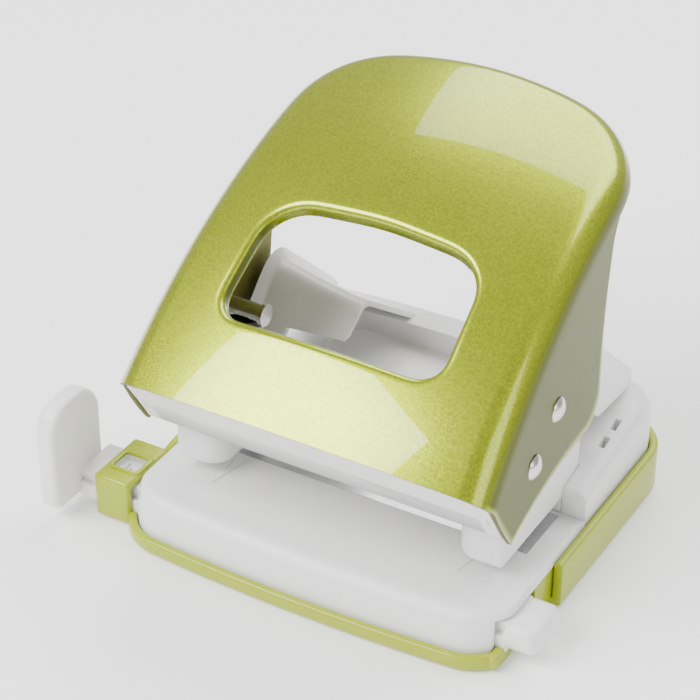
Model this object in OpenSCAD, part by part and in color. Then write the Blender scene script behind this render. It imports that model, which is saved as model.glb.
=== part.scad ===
// Two-hole desk punch with a pressed steel handle, a white base and a green chip tray.
// Frame: X across the object, Y from the front edge to the back, +Z up.
// The origin lies midway between the two punches, on the plane that the feet rest on.

/* [Punching] */
// Distance between the two punch axes
pitch = 80; // [76:1:84]
// Diameter of a punch
punch_d = 5.5; // [5:0.1:6]
// Distance from the punch axes back to the paper stop
paper_depth = 12; // [10:0.5:14]
// Height of the paper table above the desk
table_z = 15; // [14.5:0.1:15.5]
// Clear height of the paper throat
throat_gap = 4.6; // [4.4:0.1:5]

/* [Base] */
// Width of the base
base_w = 118; // [116:1:142]
// Length of the base from front to back
base_l = 109; // [106:1:131]
// Distance from the front edge back to the punch axes
front_l = 44.5; // [43:0.5:46]
// Corner radius of the base, seen from above
corner_r = 15; // [12:1:17]
// How far the front edge bows forward in the middle
front_bow = 3; // [1:0.5:5]
// Height of the tray rim at the front
rim_z = 5; // [4:0.25:6]
// Height of the tray wall along the sides and the back
band_z = 14.4; // [13.5:0.1:14.5]
// Wall thickness of the tray
tray_wall = 2.4; // [2:0.1:2.8]
// Height of the back deck just behind the paper stop
deck_front_z = 22.5; // [21:0.5:23]
// Height of the back deck at the rear
deck_rear_z = 29; // [27:0.5:31]
// Wall thickness of the white cover
cover_wall = 2.2; // [1.8:0.1:2.4]

/* [Paper guide] */
// Distance from the middle of the pitch to the guide flag's stop face
flag_stop = 74; // [72.5:0.5:80]
// Width of the guide bar, front to back
bar_w = 16.4; // [14:0.2:17]
// Height of the guide bar
bar_h = 8.2; // [7.4:0.1:8.4]
// Thickness of the guide flag
flag_t = 6; // [4:0.5:8]
// Height of the guide flag's top above the desk
flag_top_z = 36; // [30:1:44]

/* [Handle] */
// Half width of the handle at its front edge
handle_half_w = 54.1; // [53:0.1:65]
// Length of the handle's face, measured along its curve
face_l = 123.8; // [110:1:148]
// Slope of the handle's face at its front edge
slope_front = 45; // [42:0.5:47]
// Slope of the handle's face at its crown
slope_crown = 8; // [4:0.5:14]
// Thickness of the handle's sheet
sheet_t = 1.2; // [1:0.1:1.4]
// Bend radius between the face and its flanges
bend_r = 7; // [5:0.5:8]
// Radius of the crown's corners, measured in the face
crown_r = 27; // [22:1:32]
// Full width of the finger opening
opening_w = 64; // [50:1:70]
// Full length of the finger opening along the face
opening_l = 36; // [28:1:38]

/* [Lever] */
// Height of the pivot pins above the desk
pivot_z = 48.8; // [48:0.2:50]
// Distance of the pivot pins in front of the punch axes
pivot_ahead = 15.3; // [14:0.1:16]
// Distance of the drive pins behind the pivot pins
drive_dy = 14.1; // [13:0.1:15]
// Height of the drive pins above the pivot pins
drive_dz = 8.6; // [8:0.1:9.5]
// Diameter of the pivot and drive pins
pin_d = 5; // [4.5:0.1:5.5]

/* [Hidden] */

gap = 0.3;                 // room between pieces that move past each other
run = 0.05;                // radial clearance of a running fit
seat = 0.1;                // room between pieces that are fixed together
over = 1;                  // how far a cutting shape runs past the face it cuts

// Base, worked out from the driving sizes
front_y = -front_l;
rear_y = front_y + base_l;
foot_h = 0.8;              // the tray's underside stands this far off the desk
floor_t = 2;               // thickness of the tray's floor
floor_z = foot_h + floor_t;
plate_t = 2;               // thickness of the die plate
skin_t = 0.5;              // cover under the die plate
cover_under_z = table_z - plate_t - skin_t;
cover_inset = tray_wall + gap;
stop_y = paper_depth;
throat_top_z = table_z + throat_gap;
half_pitch = pitch / 2;
bow_r = (base_w * base_w / 4 + front_bow * front_bow) / (2 * front_bow);

// Paper guide
bar_y0 = front_y + 10.8;
bar_y1 = bar_y0 + bar_w;
bar_z0 = floor_z + 1;
bar_z1 = bar_z0 + bar_h;
bar_end_x = base_w / 2 + 6;
label_t = 0.2;
housing_out = 9;           // how far the format housing stands out of the tray's left side
housing_wall = 1.5;
housing_x0 = -base_w / 2 - housing_out;
flag_x = max(flag_stop, 6 - housing_x0);   // the flag stays clear of the housing when pushed in
housing_y0 = bar_y0 - gap - housing_wall;
housing_y1 = bar_y1 + gap + housing_wall;
window_w = 7.4;
window_l = 6.8;
window_x = housing_x0 + 6.2;
window_y = (bar_y0 + bar_y1) / 2 - 0.8;
flag_l = 22;
flag_z0 = 9;
recess_x = base_w / 2 - 2.8;
recess_y0 = front_y + 8.5;
recess_y1 = front_y + 37.5;

// Leaf spring behind the guide bar and the two posts that hold its ends
spring_mid_x = -20;
spring_half_l = 12;
spring_posts = [spring_mid_x - spring_half_l + 1, spring_mid_x + spring_half_l - 1];
leaf_t = 0.5;
leaf_rise = 1.4;
spring_back_y = bar_y1 + 0.2 + leaf_rise + leaf_t;

// Chip door
door_x = 44.5;
door_y0 = 6;
door_y1 = rear_y - 14;
door_gap = 0.4;
hinge_y = door_y1 + 2.2;
hinge_z = foot_h + 1.7;
hinge_r = 1;
knuckle_r = 1.7;
knuckle_x = 30;
knuckle_l = 8;
lug_l = 4;                 // length of the tray's lugs on either side of a knuckle

// Screws and feet
foot_r = 4.5;
boss_r = 5.3;
screw_r = 1.5;
screw_head_r = 2.75;
screw_head_h = 1.6;
boss_z = 4.8;
strip_x = 14;              // half width of the rubber strip under the punches
strip_y = 3.5;
screw_spots = [for (sx = [-1, 1], y = [-10.5, rear_y - 13]) [sx * (base_w / 2 - 8.3), y]];

// Lever
pivot_y = -pivot_ahead;
drive_y = pivot_y + drive_dy;
drive_z = pivot_z + drive_dz;
head_r = 3.4;              // domed head of a pin
head_h = 1.5;
cheek_x1 = min(handle_half_w - 5, base_w / 2 - 9.9);
cheek_t = 3;
washer_t = 0.6;
washer_r = 4.4;
ear_x0 = cheek_x1 + seat + washer_t + gap / 2;
ear_t = 0.9;
pivot_s = 18.5;            // where the pivot and drive pins sit along the face
drive_s = 38;

// Punches, caps and springs
touch = 0.05;
arm_top_z = 33;
punch_top_z = drive_z - pin_d / 2 - touch;
punch_tip_z = throat_top_z + 0.1;
cap_r = 4.5;
cap_h = 2;
frame_x0 = half_pitch - 5;
spring_wire = 0.8;
spring_r = 3.9;            // radius of the coil's centre line
spring_turns = 7;

// Handle surface: an arc from the front slope to the crown slope
face_y0 = front_y - 3.5;
face_z0 = 59.4;
narrowing = 5.6;           // how much narrower each side gets over the face's length
cross_bow = 7;             // how far the face falls from its middle to its sides
crown_bow = 2;             // how far the crown's edge bows in its middle
turn = slope_front - slope_crown;
arc_r = face_l / (turn * PI / 180);
tail = 16;                 // straight run of the face ahead of its front edge
opening_s0 = 24.5;         // from the front edge to the opening's lower side
lip_h = 3.4;               // depth of the lip rolled in around the opening
crown_flange = 9.5;        // depth of the flange around the crown

function slope_at(s) = slope_front - (s <= 0 ? 0 : s / arc_r * 180 / PI);
function line_at(s) = s <= 0
    ? [face_y0 + s * cos(slope_front), face_z0 + s * sin(slope_front)]
    : [face_y0 + arc_r * (sin(slope_front) - sin(slope_at(s))),
       face_z0 + arc_r * (cos(slope_at(s)) - cos(slope_front))];
// A point of the handle: x across, s along the face, n out of the face
function on_face(x, s, n) = let (c = line_at(s), a = slope_at(s))
    [x, c[0] - n * sin(a), c[1] + n * cos(a)];
function side(s, n) = let (p = on_face(0, s, n)) [p[1], p[2]];
function half_w(s) = handle_half_w - narrowing * s / face_l;
function bow_at(x) = -cross_bow * pow(x / handle_half_w, 2);

// Outline of the pressed face, from the front up one side and over to the middle:
// each entry is [x, s, inward x, inward s]
side_steps = 12;
corner_steps = 8;
edge_steps = 4;
function outline() = let (top = face_l - crown_r, w = half_w(face_l - crown_r)) concat(
    [for (i = [0 : side_steps]) let (s = -tail + (top + tail) * i / side_steps)
        [half_w(s), s, -1, 0]],
    [for (i = [1 : corner_steps]) let (t = 90 * i / corner_steps)
        [w - crown_r + crown_r * cos(t), top + crown_r * sin(t), -cos(t), -sin(t)]],
    [for (i = [1 : edge_steps]) let (k = 1 - 0.6 * i / edge_steps)
        [(w - crown_r) * k, face_l + crown_bow * (1 - k * k), 0, -1]]);

// One section of the pressed form: down one flange, across the face, up the other flange
bend_steps = 4;
face_steps = 10;
function half_section(o, inset, depth) = let (r = bend_r - inset) concat(
    [on_face(o[0] + inset * o[2], o[1] + inset * o[3], -depth)],
    [for (i = [0 : bend_steps]) let (t = 90 * i / bend_steps, d = inset + r * (1 - cos(t)),
        x = o[0] + d * o[2])
        on_face(x, o[1] + d * o[3], bow_at(x) - inset - r * (1 - sin(t)))]);
function face_section(o, inset) = let (d = bend_r, x = o[0] + d * o[2])
    [for (i = [1 : face_steps - 1]) let (u = x * (1 - 2 * i / face_steps))
        on_face(u, o[1] + d * o[3], bow_at(u) - inset)];
function flipped(p) = [for (i = [len(p) - 1 : -1 : 0]) [-p[i][0], p[i][1], p[i][2]]];
function section(o, inset, depth) = let (h = half_section(o, inset, depth))
    concat(h, face_section(o, inset), flipped(h));

// Closed skin over a list of sections that all have the same number of points; each end is
// closed by strips that join the section's first half to its second half
module skin(rows) {
    n = len(rows[0]);
    m = len(rows);
    polyhedron(
        points = [for (row = rows) for (q = row) q],
        faces = concat(
            [for (j = [0 : ceil(n / 2) - 2]) [n - 1 - j, j + 1, j]],
            [for (j = [0 : ceil(n / 2) - 2]) if (j + 1 < n - 2 - j) [n - 1 - j, n - 2 - j, j + 1]],
            [for (j = [0 : ceil(n / 2) - 2]) let (e = (m - 1) * n) [e + j, e + j + 1, e + n - 1 - j]],
            [for (j = [0 : ceil(n / 2) - 2]) let (e = (m - 1) * n)
                if (j + 1 < n - 2 - j) [e + j + 1, e + n - 2 - j, e + n - 1 - j]],
            [for (i = [0 : m - 2], j = [0 : n - 1]) let (k = (j + 1) % n)
                [(i + 1) * n + k, (i + 1) * n + j, i * n + j]],
            [for (i = [0 : m - 2], j = [0 : n - 1]) let (k = (j + 1) % n)
                [i * n + k, (i + 1) * n + k, i * n + j]]),
        convexity = 6);
}

module pressed_form(inset, depth) {
    skin([for (o = outline()) section(o, inset, depth)]);
}

// A flat outline in Y and Z, stretched along X from x0 to x1
module across(x0, x1) {
    translate([x0, 0, 0]) rotate([90, 0, 90]) linear_extrude(x1 - x0) children();
}

module rod_x(x0, x1, y, z, r) {
    translate([x0, y, z]) rotate([0, 90, 0]) cylinder(h = x1 - x0, r = r, $fn = 48);
}

module block(x0, x1, y0, y1, z0, z1) {
    translate([x0, y0, z0]) cube([x1 - x0, y1 - y0, z1 - z0]);
}

// Plan of the base, pulled in by inset all round
module plan(inset) {
    r = corner_r - inset;
    intersection() {
        translate([-base_w / 2 + corner_r, front_y + corner_r])
            offset(r = r, $fn = 64) square([base_w - 2 * corner_r, base_l - 2 * corner_r]);
        translate([0, front_y + bow_r]) circle(r = bow_r - inset, $fn = 360);
    }
}

// Height of the tray's wall as it rises along the side
rise_y0 = front_y + 8;
rise_y1 = front_y + 36;
function wall_z(y) = let (t = min(1, max(0, (y - rise_y0) / (rise_y1 - rise_y0))))
    rim_z + (band_z - rim_z) * (1 - cos(180 * t)) / 2;
module wall_profile() {
    steps = 14;
    polygon(concat(
        [[rear_y + over, foot_h - over], [front_y - over, foot_h - over], [front_y - over, rim_z]],
        [for (i = [0 : steps]) let (y = rise_y0 + (rise_y1 - rise_y0) * i / steps) [y, wall_z(y)]],
        [[rear_y + over, band_z]]));
}

module bar_room(x0, x1) {
    block(x0, x1, bar_y0 - gap, bar_y1 + gap, bar_z0 - gap, bar_z1 + label_t + gap);
}

module tray_walls() {
    intersection() {
        difference() {
            translate([0, 0, foot_h]) linear_extrude(band_z) plan(0);
            translate([0, 0, floor_z]) linear_extrude(band_z) plan(tray_wall);
        }
        across(-base_w, base_w) wall_profile();
    }
    block(housing_x0, -base_w / 2 + tray_wall, housing_y0, housing_y1, foot_h, band_z);
    intersection() {
        block(recess_x - tray_wall, recess_x, recess_y0 - tray_wall, recess_y1 + tray_wall,
              foot_h, band_z);
        across(-base_w, base_w) wall_profile();
    }
    for (p = screw_spots) translate([p[0], p[1], foot_h])
        cylinder(h = boss_z - foot_h, r = boss_r, $fn = 48);
    for (x = spring_posts)
        block(x - 1.2, x + 1.2, spring_back_y, spring_back_y + 2.4, foot_h, bar_z0 + 7);
}

module tray_lugs() {
    for (sx = [-1, 1], side = [-1, 1]) {
        x = sx * knuckle_x + side * (knuckle_l / 2 + door_gap + lug_l / 2);
        rod_x(x - lug_l / 2, x + lug_l / 2, hinge_y, hinge_z, knuckle_r);
    }
}

module chip_tray() {
    color([0.62, 0.68, 0.12]) difference() {
        union() {
            difference() {
                tray_walls();
                block(recess_x, base_w, recess_y0, recess_y1, foot_h - over, band_z + over);
                block(-door_x - door_gap, door_x + door_gap, door_y0 - door_gap, hinge_y - 1,
                      foot_h - over, floor_z + over);
            }
            tray_lugs();
        }
        bar_room(housing_x0 - over, -base_w / 2 + 4);
        bar_room(recess_x - 4, recess_x + over);
        block(window_x - window_w / 2, window_x + window_w / 2,
              window_y - window_l / 2, window_y + window_l / 2, bar_z1, band_z + over);
        for (sx = [-1, 1]) {
            block(sx * knuckle_x - knuckle_l / 2 - door_gap, sx * knuckle_x + knuckle_l / 2 + door_gap,
                  hinge_y - 2, hinge_y + knuckle_r + gap, foot_h - over, floor_z + over);
            rod_x(sx * knuckle_x - knuckle_l, sx * knuckle_x + knuckle_l, hinge_y, hinge_z,
                  hinge_r + 0.01);
        }
        for (p = screw_spots) translate([p[0], p[1], foot_h - over]) {
            cylinder(h = over + 0.7, r = foot_r + seat, $fn = 48);
            cylinder(h = boss_z + over, r = screw_r + 0.2, $fn = 32);
            cylinder(h = over + 0.7 + screw_head_h + seat, r = screw_head_r + seat, $fn = 48);
        }
        block(-strip_x - seat, strip_x + seat, -strip_y - seat, strip_y + seat, foot_h - over,
              foot_h + 0.7);
    }
}

// Side profile of the white cover: steep front, flat table, stop and back deck
lip_y = front_y + cover_inset;
deck_bend_y = rear_y - 18;
function deck_z(y) = deck_front_z
    + (deck_rear_z - deck_front_z) * min(1, (y - stop_y) / (deck_bend_y - stop_y));
// Sunken floor in the middle of the back deck
pocket_x = 36;
pocket_y0 = stop_y + 12;
pocket_y1 = rear_y - 14;
pocket_z = deck_z(pocket_y0) - 0.6;
module cover_profile(inset) {
    bottom = floor_z + gap;
    crest_y = front_y + 9.5;
    steps = 6;
    polygon(concat(
        [[rear_y, bottom - (inset > 0 ? over : 0)], [lip_y + inset, bottom - (inset > 0 ? over : 0)]],
        [for (i = [0 : steps]) let (t = 90 * i / steps)
            [crest_y + (lip_y - crest_y) * cos(t) + inset,
             rim_z - 1 + (table_z - rim_z + 1) * sin(t) - (inset > 0 ? table_z - cover_under_z : 0)]],
        [[stop_y + inset, table_z - (inset > 0 ? table_z - cover_under_z : 0)],
         [stop_y + inset, deck_front_z - inset], [deck_bend_y, deck_rear_z - inset],
         [rear_y, deck_rear_z - inset]]));
}

module frame_well(sx) {
    block(sx > 0 ? frame_x0 - seat : -cheek_x1 - seat, sx > 0 ? cheek_x1 + seat : -frame_x0 + seat,
          stop_y - over, stop_y + 10 + seat, table_z, deck_rear_z + over);
}

module cover_form() {
    difference() {
        union() {
            difference() {
                intersection() {
                    translate([0, 0, floor_z]) linear_extrude(deck_rear_z) plan(cover_inset);
                    across(-base_w, base_w) cover_profile(0);
                }
                intersection() {
                    translate([0, 0, floor_z - over]) linear_extrude(deck_rear_z) plan(cover_inset + cover_wall);
                    across(-base_w, base_w) cover_profile(cover_wall);
                }
                block(recess_x - tray_wall - gap, base_w, recess_y0 - tray_wall - gap,
                      recess_y1 + tray_wall + gap, 0, table_z + over);
            }
            for (p = screw_spots) translate([p[0], p[1], boss_z + seat])
                cylinder(h = (p[1] > stop_y ? deck_rear_z - cover_wall : cover_under_z) - boss_z,
                         r = 3.2, $fn = 48);
            for (sx = [-1, 1])
                block(sx > 0 ? frame_x0 - 2 : -cheek_x1 - 1, sx > 0 ? cheek_x1 + 1 : -frame_x0 + 2,
                      stop_y + 0.5, stop_y + 11.5, cover_under_z, deck_front_z);
            block(-pocket_x - cover_wall, pocket_x + cover_wall, pocket_y0 - cover_wall,
                  pocket_y1 + cover_wall, pocket_z - cover_wall, deck_z(pocket_y0 - cover_wall) - 0.2);
            block(-pocket_x - cover_wall, pocket_x + cover_wall, pocket_y1, pocket_y1 + cover_wall,
                  pocket_z - cover_wall, deck_rear_z - 1);
            for (sx = [-1, 1])
                across(sx > 0 ? pocket_x : -pocket_x - cover_wall, sx > 0 ? pocket_x + cover_wall : -pocket_x)
                    polygon([[pocket_y0, pocket_z - cover_wall], [pocket_y1, pocket_z - cover_wall],
                             [pocket_y1, deck_z(pocket_y1) - 1], [pocket_y0, deck_z(pocket_y0) - 1]]);
            block(recess_x - tray_wall - gap - cover_wall, recess_x - tray_wall - gap,
                  recess_y0 - tray_wall - gap, recess_y1 + tray_wall + gap + cover_wall,
                  bar_z1 + 0.7, table_z);
        }
        for (sx = [-1, 1]) {
            frame_well(sx);
            translate([sx * half_pitch, 0, cover_under_z - over])
                cylinder(h = skin_t + 2 * over, r = punch_d / 2 + 1.2, $fn = 48);
            for (dx = [-5, 5]) translate([sx * (half_pitch + 2.5) + dx, stop_y + 5, 0])
                cylinder(h = table_z + over, r = screw_r + 0.1, $fn = 32);
        }
        block(-half_pitch - 9 - seat, half_pitch + 9 + seat, -8 - seat, stop_y - 1.5 + seat,
              table_z - plate_t - seat, table_z + over);
        block(-pocket_x, pocket_x, pocket_y0, pocket_y1, pocket_z, deck_rear_z + over);
        bar_room(-base_w, base_w);
        for (p = screw_spots) translate([p[0], p[1], floor_z - over]) {
            cylinder(h = 9 + over, r = screw_r + 0.01, $fn = 32);
            cylinder(h = boss_z + seat - floor_z + over, r = boss_r + gap, $fn = 48);
        }
        block(recess_x - tray_wall - gap, base_w, recess_y0 - tray_wall - gap,
              recess_y1 + tray_wall + gap, 0, bar_z1 + 0.7);
    }
}
module table_cover() {
    color([0.92, 0.92, 0.91]) intersection() {
        cover_form();
        block(-base_w, base_w, front_y - over, stop_y - seat, 0, table_z + over);
    }
}
module rear_cover() {
    color([0.92, 0.92, 0.91]) intersection() {
        cover_form();
        block(-base_w, base_w, stop_y, rear_y + over, 0, deck_rear_z + over);
    }
}

// Cowl behind each punch: its top sags towards the middle, its back falls to the deck
cowl_x0 = 19;
cowl_x1 = cheek_x1 - 1.6;
cowl_t = 1.6;
cowl_low_z = 49.4;
cowl_high_z = 55.4;
cowl_y0 = stop_y - 4;
cowl_y1 = rear_y - 9;
arch_x = frame_x0 + 1;     // the front wall is open from the cowl's inner end to here
arch_z = 44.5;
function crest_z(x) = cowl_low_z
    + (cowl_high_z - cowl_low_z) * pow(max(0, x - cowl_x0) / (cowl_x1 - cowl_x0), 1.5);
module cowl_side(inset) {
    offset(delta = -inset) polygon([
        [cowl_y0, arm_top_z + seat], [cowl_y0, arm_top_z + 5],
        [stop_y + 10, cowl_high_z - 2], [stop_y + 13, cowl_high_z + over],
        [stop_y + 15, cowl_high_z + over],
        [cowl_y1, deck_rear_z + seat], [deck_bend_y, deck_rear_z + seat],
        [stop_y + 10 + seat, deck_z(stop_y + 10) + 2 * seat],
        [stop_y + 10 + seat, arm_top_z + seat]]);
}
module cowl_form(inset, drop) {
    intersection() {
        translate([0, rear_y, 0]) rotate([90, 0, 0]) linear_extrude(base_l) polygon(concat(
            [[cowl_x0 - inset, 0], [cowl_x1 - inset, 0]],
            [for (i = [12 : -1 : 0]) let (x = cowl_x0 + (cowl_x1 - inset - cowl_x0) * i / 12)
                [x - (i == 0 ? inset : 0), crest_z(x) - inset]]));
        across(cowl_x0 - over, cowl_x1) {
            cowl_side(inset);
            translate([0, -drop]) cowl_side(inset);
        }
    }
}
module cowl() {
    difference() {
        cowl_form(0, 0);
        cowl_form(cowl_t, 3 * cowl_t);
        block(cowl_x0 - over, arch_x, cowl_y0 - over, stop_y + 14, 0, arch_z);
    }
}
module cowl_right() { color([0.93, 0.93, 0.92]) cowl(); }
module cowl_left() { color([0.93, 0.93, 0.92]) mirror([1, 0, 0]) cowl(); }

module die_plate() {
    color([0.72, 0.73, 0.74]) difference() {
        block(-half_pitch - 9, half_pitch + 9, -8, stop_y - 1.5, table_z - plate_t, table_z);
        for (sx = [-1, 1]) translate([sx * half_pitch, 0, table_z - plate_t - over])
            cylinder(h = plate_t + 2 * over, r = punch_d / 2 + 0.08, $fn = 64);
    }
}

module chip_door() {
    color([0.55, 0.6, 0.12]) difference() {
        union() {
            block(-door_x, door_x, door_y0, door_y1, foot_h, floor_z);
            for (x = [-30 : 15 : 30]) block(x - 0.6, x + 0.6, door_y0 + 6, door_y1 - 6, floor_z - 0.1,
                                            floor_z + 1);
            for (sx = [-1, 1]) {
                rod_x(sx * knuckle_x - knuckle_l / 2, sx * knuckle_x + knuckle_l / 2, hinge_y, hinge_z,
                      knuckle_r);
                block(sx * knuckle_x - knuckle_l / 2, sx * knuckle_x + knuckle_l / 2,
                      door_y1 - 1, hinge_y, foot_h, foot_h + 1.6);
            }
        }
        for (sx = [-1, 1])
            rod_x(sx * knuckle_x - knuckle_l, sx * knuckle_x + knuckle_l, hinge_y, hinge_z,
                  hinge_r + run);
        translate([0, door_y0 + 1, foot_h - over]) cylinder(h = 1 + over, r = 6, $fn = 48);
    }
}

module door_hinge_pins() {
    color([0.7, 0.7, 0.72]) for (sx = [-1, 1])
        rod_x(sx * knuckle_x - knuckle_l + 0.5, sx * knuckle_x + knuckle_l - 0.5, hinge_y, hinge_z,
              hinge_r);
}

// Frame on the +X side: lower arm with the punch guide, column behind the throat, cheek and pivot boss
module punch_frame() {
    difference() {
        union() {
            translate([frame_x0, 0, 0]) difference() {
                block(0, cheek_x1 - frame_x0, front_y + 22, stop_y + 10, throat_top_z, arm_top_z);
                translate([0, front_y + 22, 0]) rotate([0, 0, 45]) cube([3, 3, 200], center = true);
            }
            block(frame_x0, cheek_x1, stop_y, stop_y + 10, table_z + seat, arm_top_z);
            across(cheek_x1 - cheek_t, cheek_x1) hull() {
                translate([pivot_y, pivot_z]) circle(r = 6.4, $fn = 48);
                translate([front_y + 22, arm_top_z - 2]) square([25, 2]);
            }
        }
        translate([half_pitch, 0, throat_top_z - over])
            cylinder(h = arm_top_z + over, r = punch_d / 2 + run, $fn = 64);
        rod_x(cheek_x1 - cheek_t - over, cheek_x1 + over, pivot_y, pivot_z, pin_d / 2 + 0.01);
        for (dx = [-5, 5]) translate([half_pitch + 2.5 + dx, stop_y + 5, 0])
            cylinder(h = table_z + 10, r = screw_r + 0.01, $fn = 32);
    }
}
module punch_frame_right() { color([0.9, 0.9, 0.89]) punch_frame(); }
module punch_frame_left() { color([0.9, 0.9, 0.89]) mirror([1, 0, 0]) punch_frame(); }

// Domed head of a pin that points along +X, its flat side at x
module domed_head(x, y, z) {
    dome_r = (head_r * head_r + head_h * head_h) / (2 * head_h);
    intersection() {
        translate([x - dome_r + head_h, y, z]) rotate([0, 90, 0]) rotate_extrude($fn = 64)
            intersection() {
                circle(r = dome_r, $fn = 96);
                translate([0, -dome_r]) square([dome_r, 2 * dome_r]);
            }
        rod_x(x, x + 2 * head_h, y, z, head_r + over);
    }
}

// Where the pins' heads sit, just outside the side panels
pivot_head_x = half_w(pivot_s) + 2 * seat;
drive_head_x = half_w(drive_s) + 2 * seat;

module pivot_pin() {
    rod_x(cheek_x1 - cheek_t - 1.5, pivot_head_x + head_h / 2, pivot_y, pivot_z, pin_d / 2);
    domed_head(pivot_head_x, pivot_y, pivot_z);
}
module pivot_pin_right() { color([0.78, 0.78, 0.8]) pivot_pin(); }
module pivot_pin_left() { color([0.78, 0.78, 0.8]) mirror([1, 0, 0]) pivot_pin(); }

module drive_pin() {
    rod_x(half_pitch - 6, drive_head_x + head_h / 2, drive_y, drive_z, pin_d / 2);
    rod_x(half_pitch - 6.8, half_pitch - 5.6, drive_y, drive_z, head_r - 0.3);
    domed_head(drive_head_x, drive_y, drive_z);
}
module drive_pin_right() { color([0.78, 0.78, 0.8]) drive_pin(); }
module drive_pin_left() { color([0.78, 0.78, 0.8]) mirror([1, 0, 0]) drive_pin(); }

module pivot_washers() {
    color([0.85, 0.85, 0.82]) for (sx = [-1, 1]) mirror([sx < 0 ? 1 : 0, 0, 0]) difference() {
        rod_x(cheek_x1 + seat / 2, cheek_x1 + seat / 2 + washer_t, pivot_y, pivot_z, washer_r);
        rod_x(cheek_x1 - over, cheek_x1 + over + washer_t, pivot_y, pivot_z, pin_d / 2 + run);
    }
}

module screw(z_head, z_end) {
    translate([0, 0, z_head]) difference() {
        union() {
            cylinder(h = screw_head_h, r = screw_head_r, $fn = 48);
            cylinder(h = z_end - z_head, r = screw_r, $fn = 32);
        }
        for (a = [0, 90]) rotate([0, 0, a]) cube([3.2, 0.6, 1.6], center = true);
    }
}

module base_screws() {
    color([0.6, 0.6, 0.62]) for (p = screw_spots) translate([p[0], p[1], 0])
        screw(foot_h + 0.7, cover_under_z - 1);
}

module frame_screws() {
    color([0.6, 0.6, 0.62]) for (sx = [-1, 1], dx = [-5, 5])
        translate([sx * (half_pitch + 2.5) + dx, stop_y + 5, 0])
            screw(cover_under_z - screw_head_h - seat, table_z + 9);
}

module rubber_feet() {
    color([0.15, 0.15, 0.15]) for (p = screw_spots) translate([p[0], p[1], 0])
        cylinder(h = foot_h + 0.6, r = foot_r, $fn = 48);
    color([0.15, 0.15, 0.15]) block(-strip_x, strip_x, -strip_y, strip_y, 0, foot_h + 0.6);
}

// Leaf spring that bears on the guide bar's back and holds it at the chosen format
module detent_spring() {
    color([0.75, 0.75, 0.77]) translate([spring_mid_x, bar_y1 + 0.2, bar_z0 + 2])
        linear_extrude(4) polygon([
            [-spring_half_l, leaf_rise], [-3, 0.5], [0, 0], [3, 0.5], [spring_half_l, leaf_rise],
            [spring_half_l, leaf_rise + leaf_t], [3, 0.5 + leaf_t], [0, leaf_t],
            [-3, 0.5 + leaf_t], [-spring_half_l, leaf_rise + leaf_t]]);
}

module format_window() {
    color([0.85, 0.9, 0.92, 0.5])
        block(window_x - window_w / 2 + seat, window_x + window_w / 2 - seat,
              window_y - window_l / 2 + seat, window_y + window_l / 2 - seat,
              bar_z1 + label_t + gap + 0.1, band_z - 0.3);
}

// Side view of the sheet: lower edge, front edge of the side panels, rear edge and crown
module panel_mask() {
    offset(r = 2.5, $fn = 32) offset(delta = -2.5) polygon([
        [face_y0 - 9.5, face_z0 + 9.5],
        [face_y0 + 5.8, face_z0 - 5.8],
        [face_y0 + 12.6, face_z0 - 15.6],
        [face_y0 + 19.3, face_z0 - 25.4],
        [face_y0 + 74.5, face_z0 - 20],
        side(face_l - 35, -crown_flange - 6),
        side(face_l - 22, -crown_flange),
        side(face_l + 12, -crown_flange),
        [face_y0 + face_l + 20, face_z0 + face_l],
        [face_y0 - 9.5, face_z0 + face_l]]);
}

// Outline of the finger opening in the face: x across, s along, drawn about its own middle
module opening_plan(grow) {
    low_r = 6;
    high_r = 11;
    top_r = 150;
    offset(r = grow, $fn = 48) intersection() {
        hull() for (sx = [-1, 1]) {
            translate([sx * (opening_w / 2 - low_r), -opening_l / 2 + low_r])
                circle(r = low_r, $fn = 32);
            translate([sx * (opening_w / 2 - high_r), opening_l / 2 - high_r])
                circle(r = high_r, $fn = 32);
        }
        translate([0, opening_l / 2 - top_r]) circle(r = top_r, $fn = 180);
    }
}

module at_opening() {
    s = opening_s0 + opening_l / 2;
    c = line_at(s);
    translate([0, c[0], c[1]]) rotate([slope_at(s), 0, 0]) children();
}

module handle_shell() {
    color([0.72, 0.78, 0.2]) difference() {
        union() {
            intersection() {
                difference() {
                    pressed_form(0, 88);
                    pressed_form(sheet_t, 90);
                }
                across(-base_w, base_w) panel_mask();
            }
            intersection() {
                difference() {
                    pressed_form(sheet_t / 2, 40);
                    pressed_form(lip_h, 42);
                }
                at_opening() linear_extrude(60, center = true) opening_plan(sheet_t);
            }
        }
        at_opening() linear_extrude(62, center = true) opening_plan(0);
        rod_x(-base_w, base_w, pivot_y, pivot_z, pin_d / 2 + run);
        rod_x(-base_w, base_w, drive_y, drive_z, pin_d / 2 + 0.01);
    }
}

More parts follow.
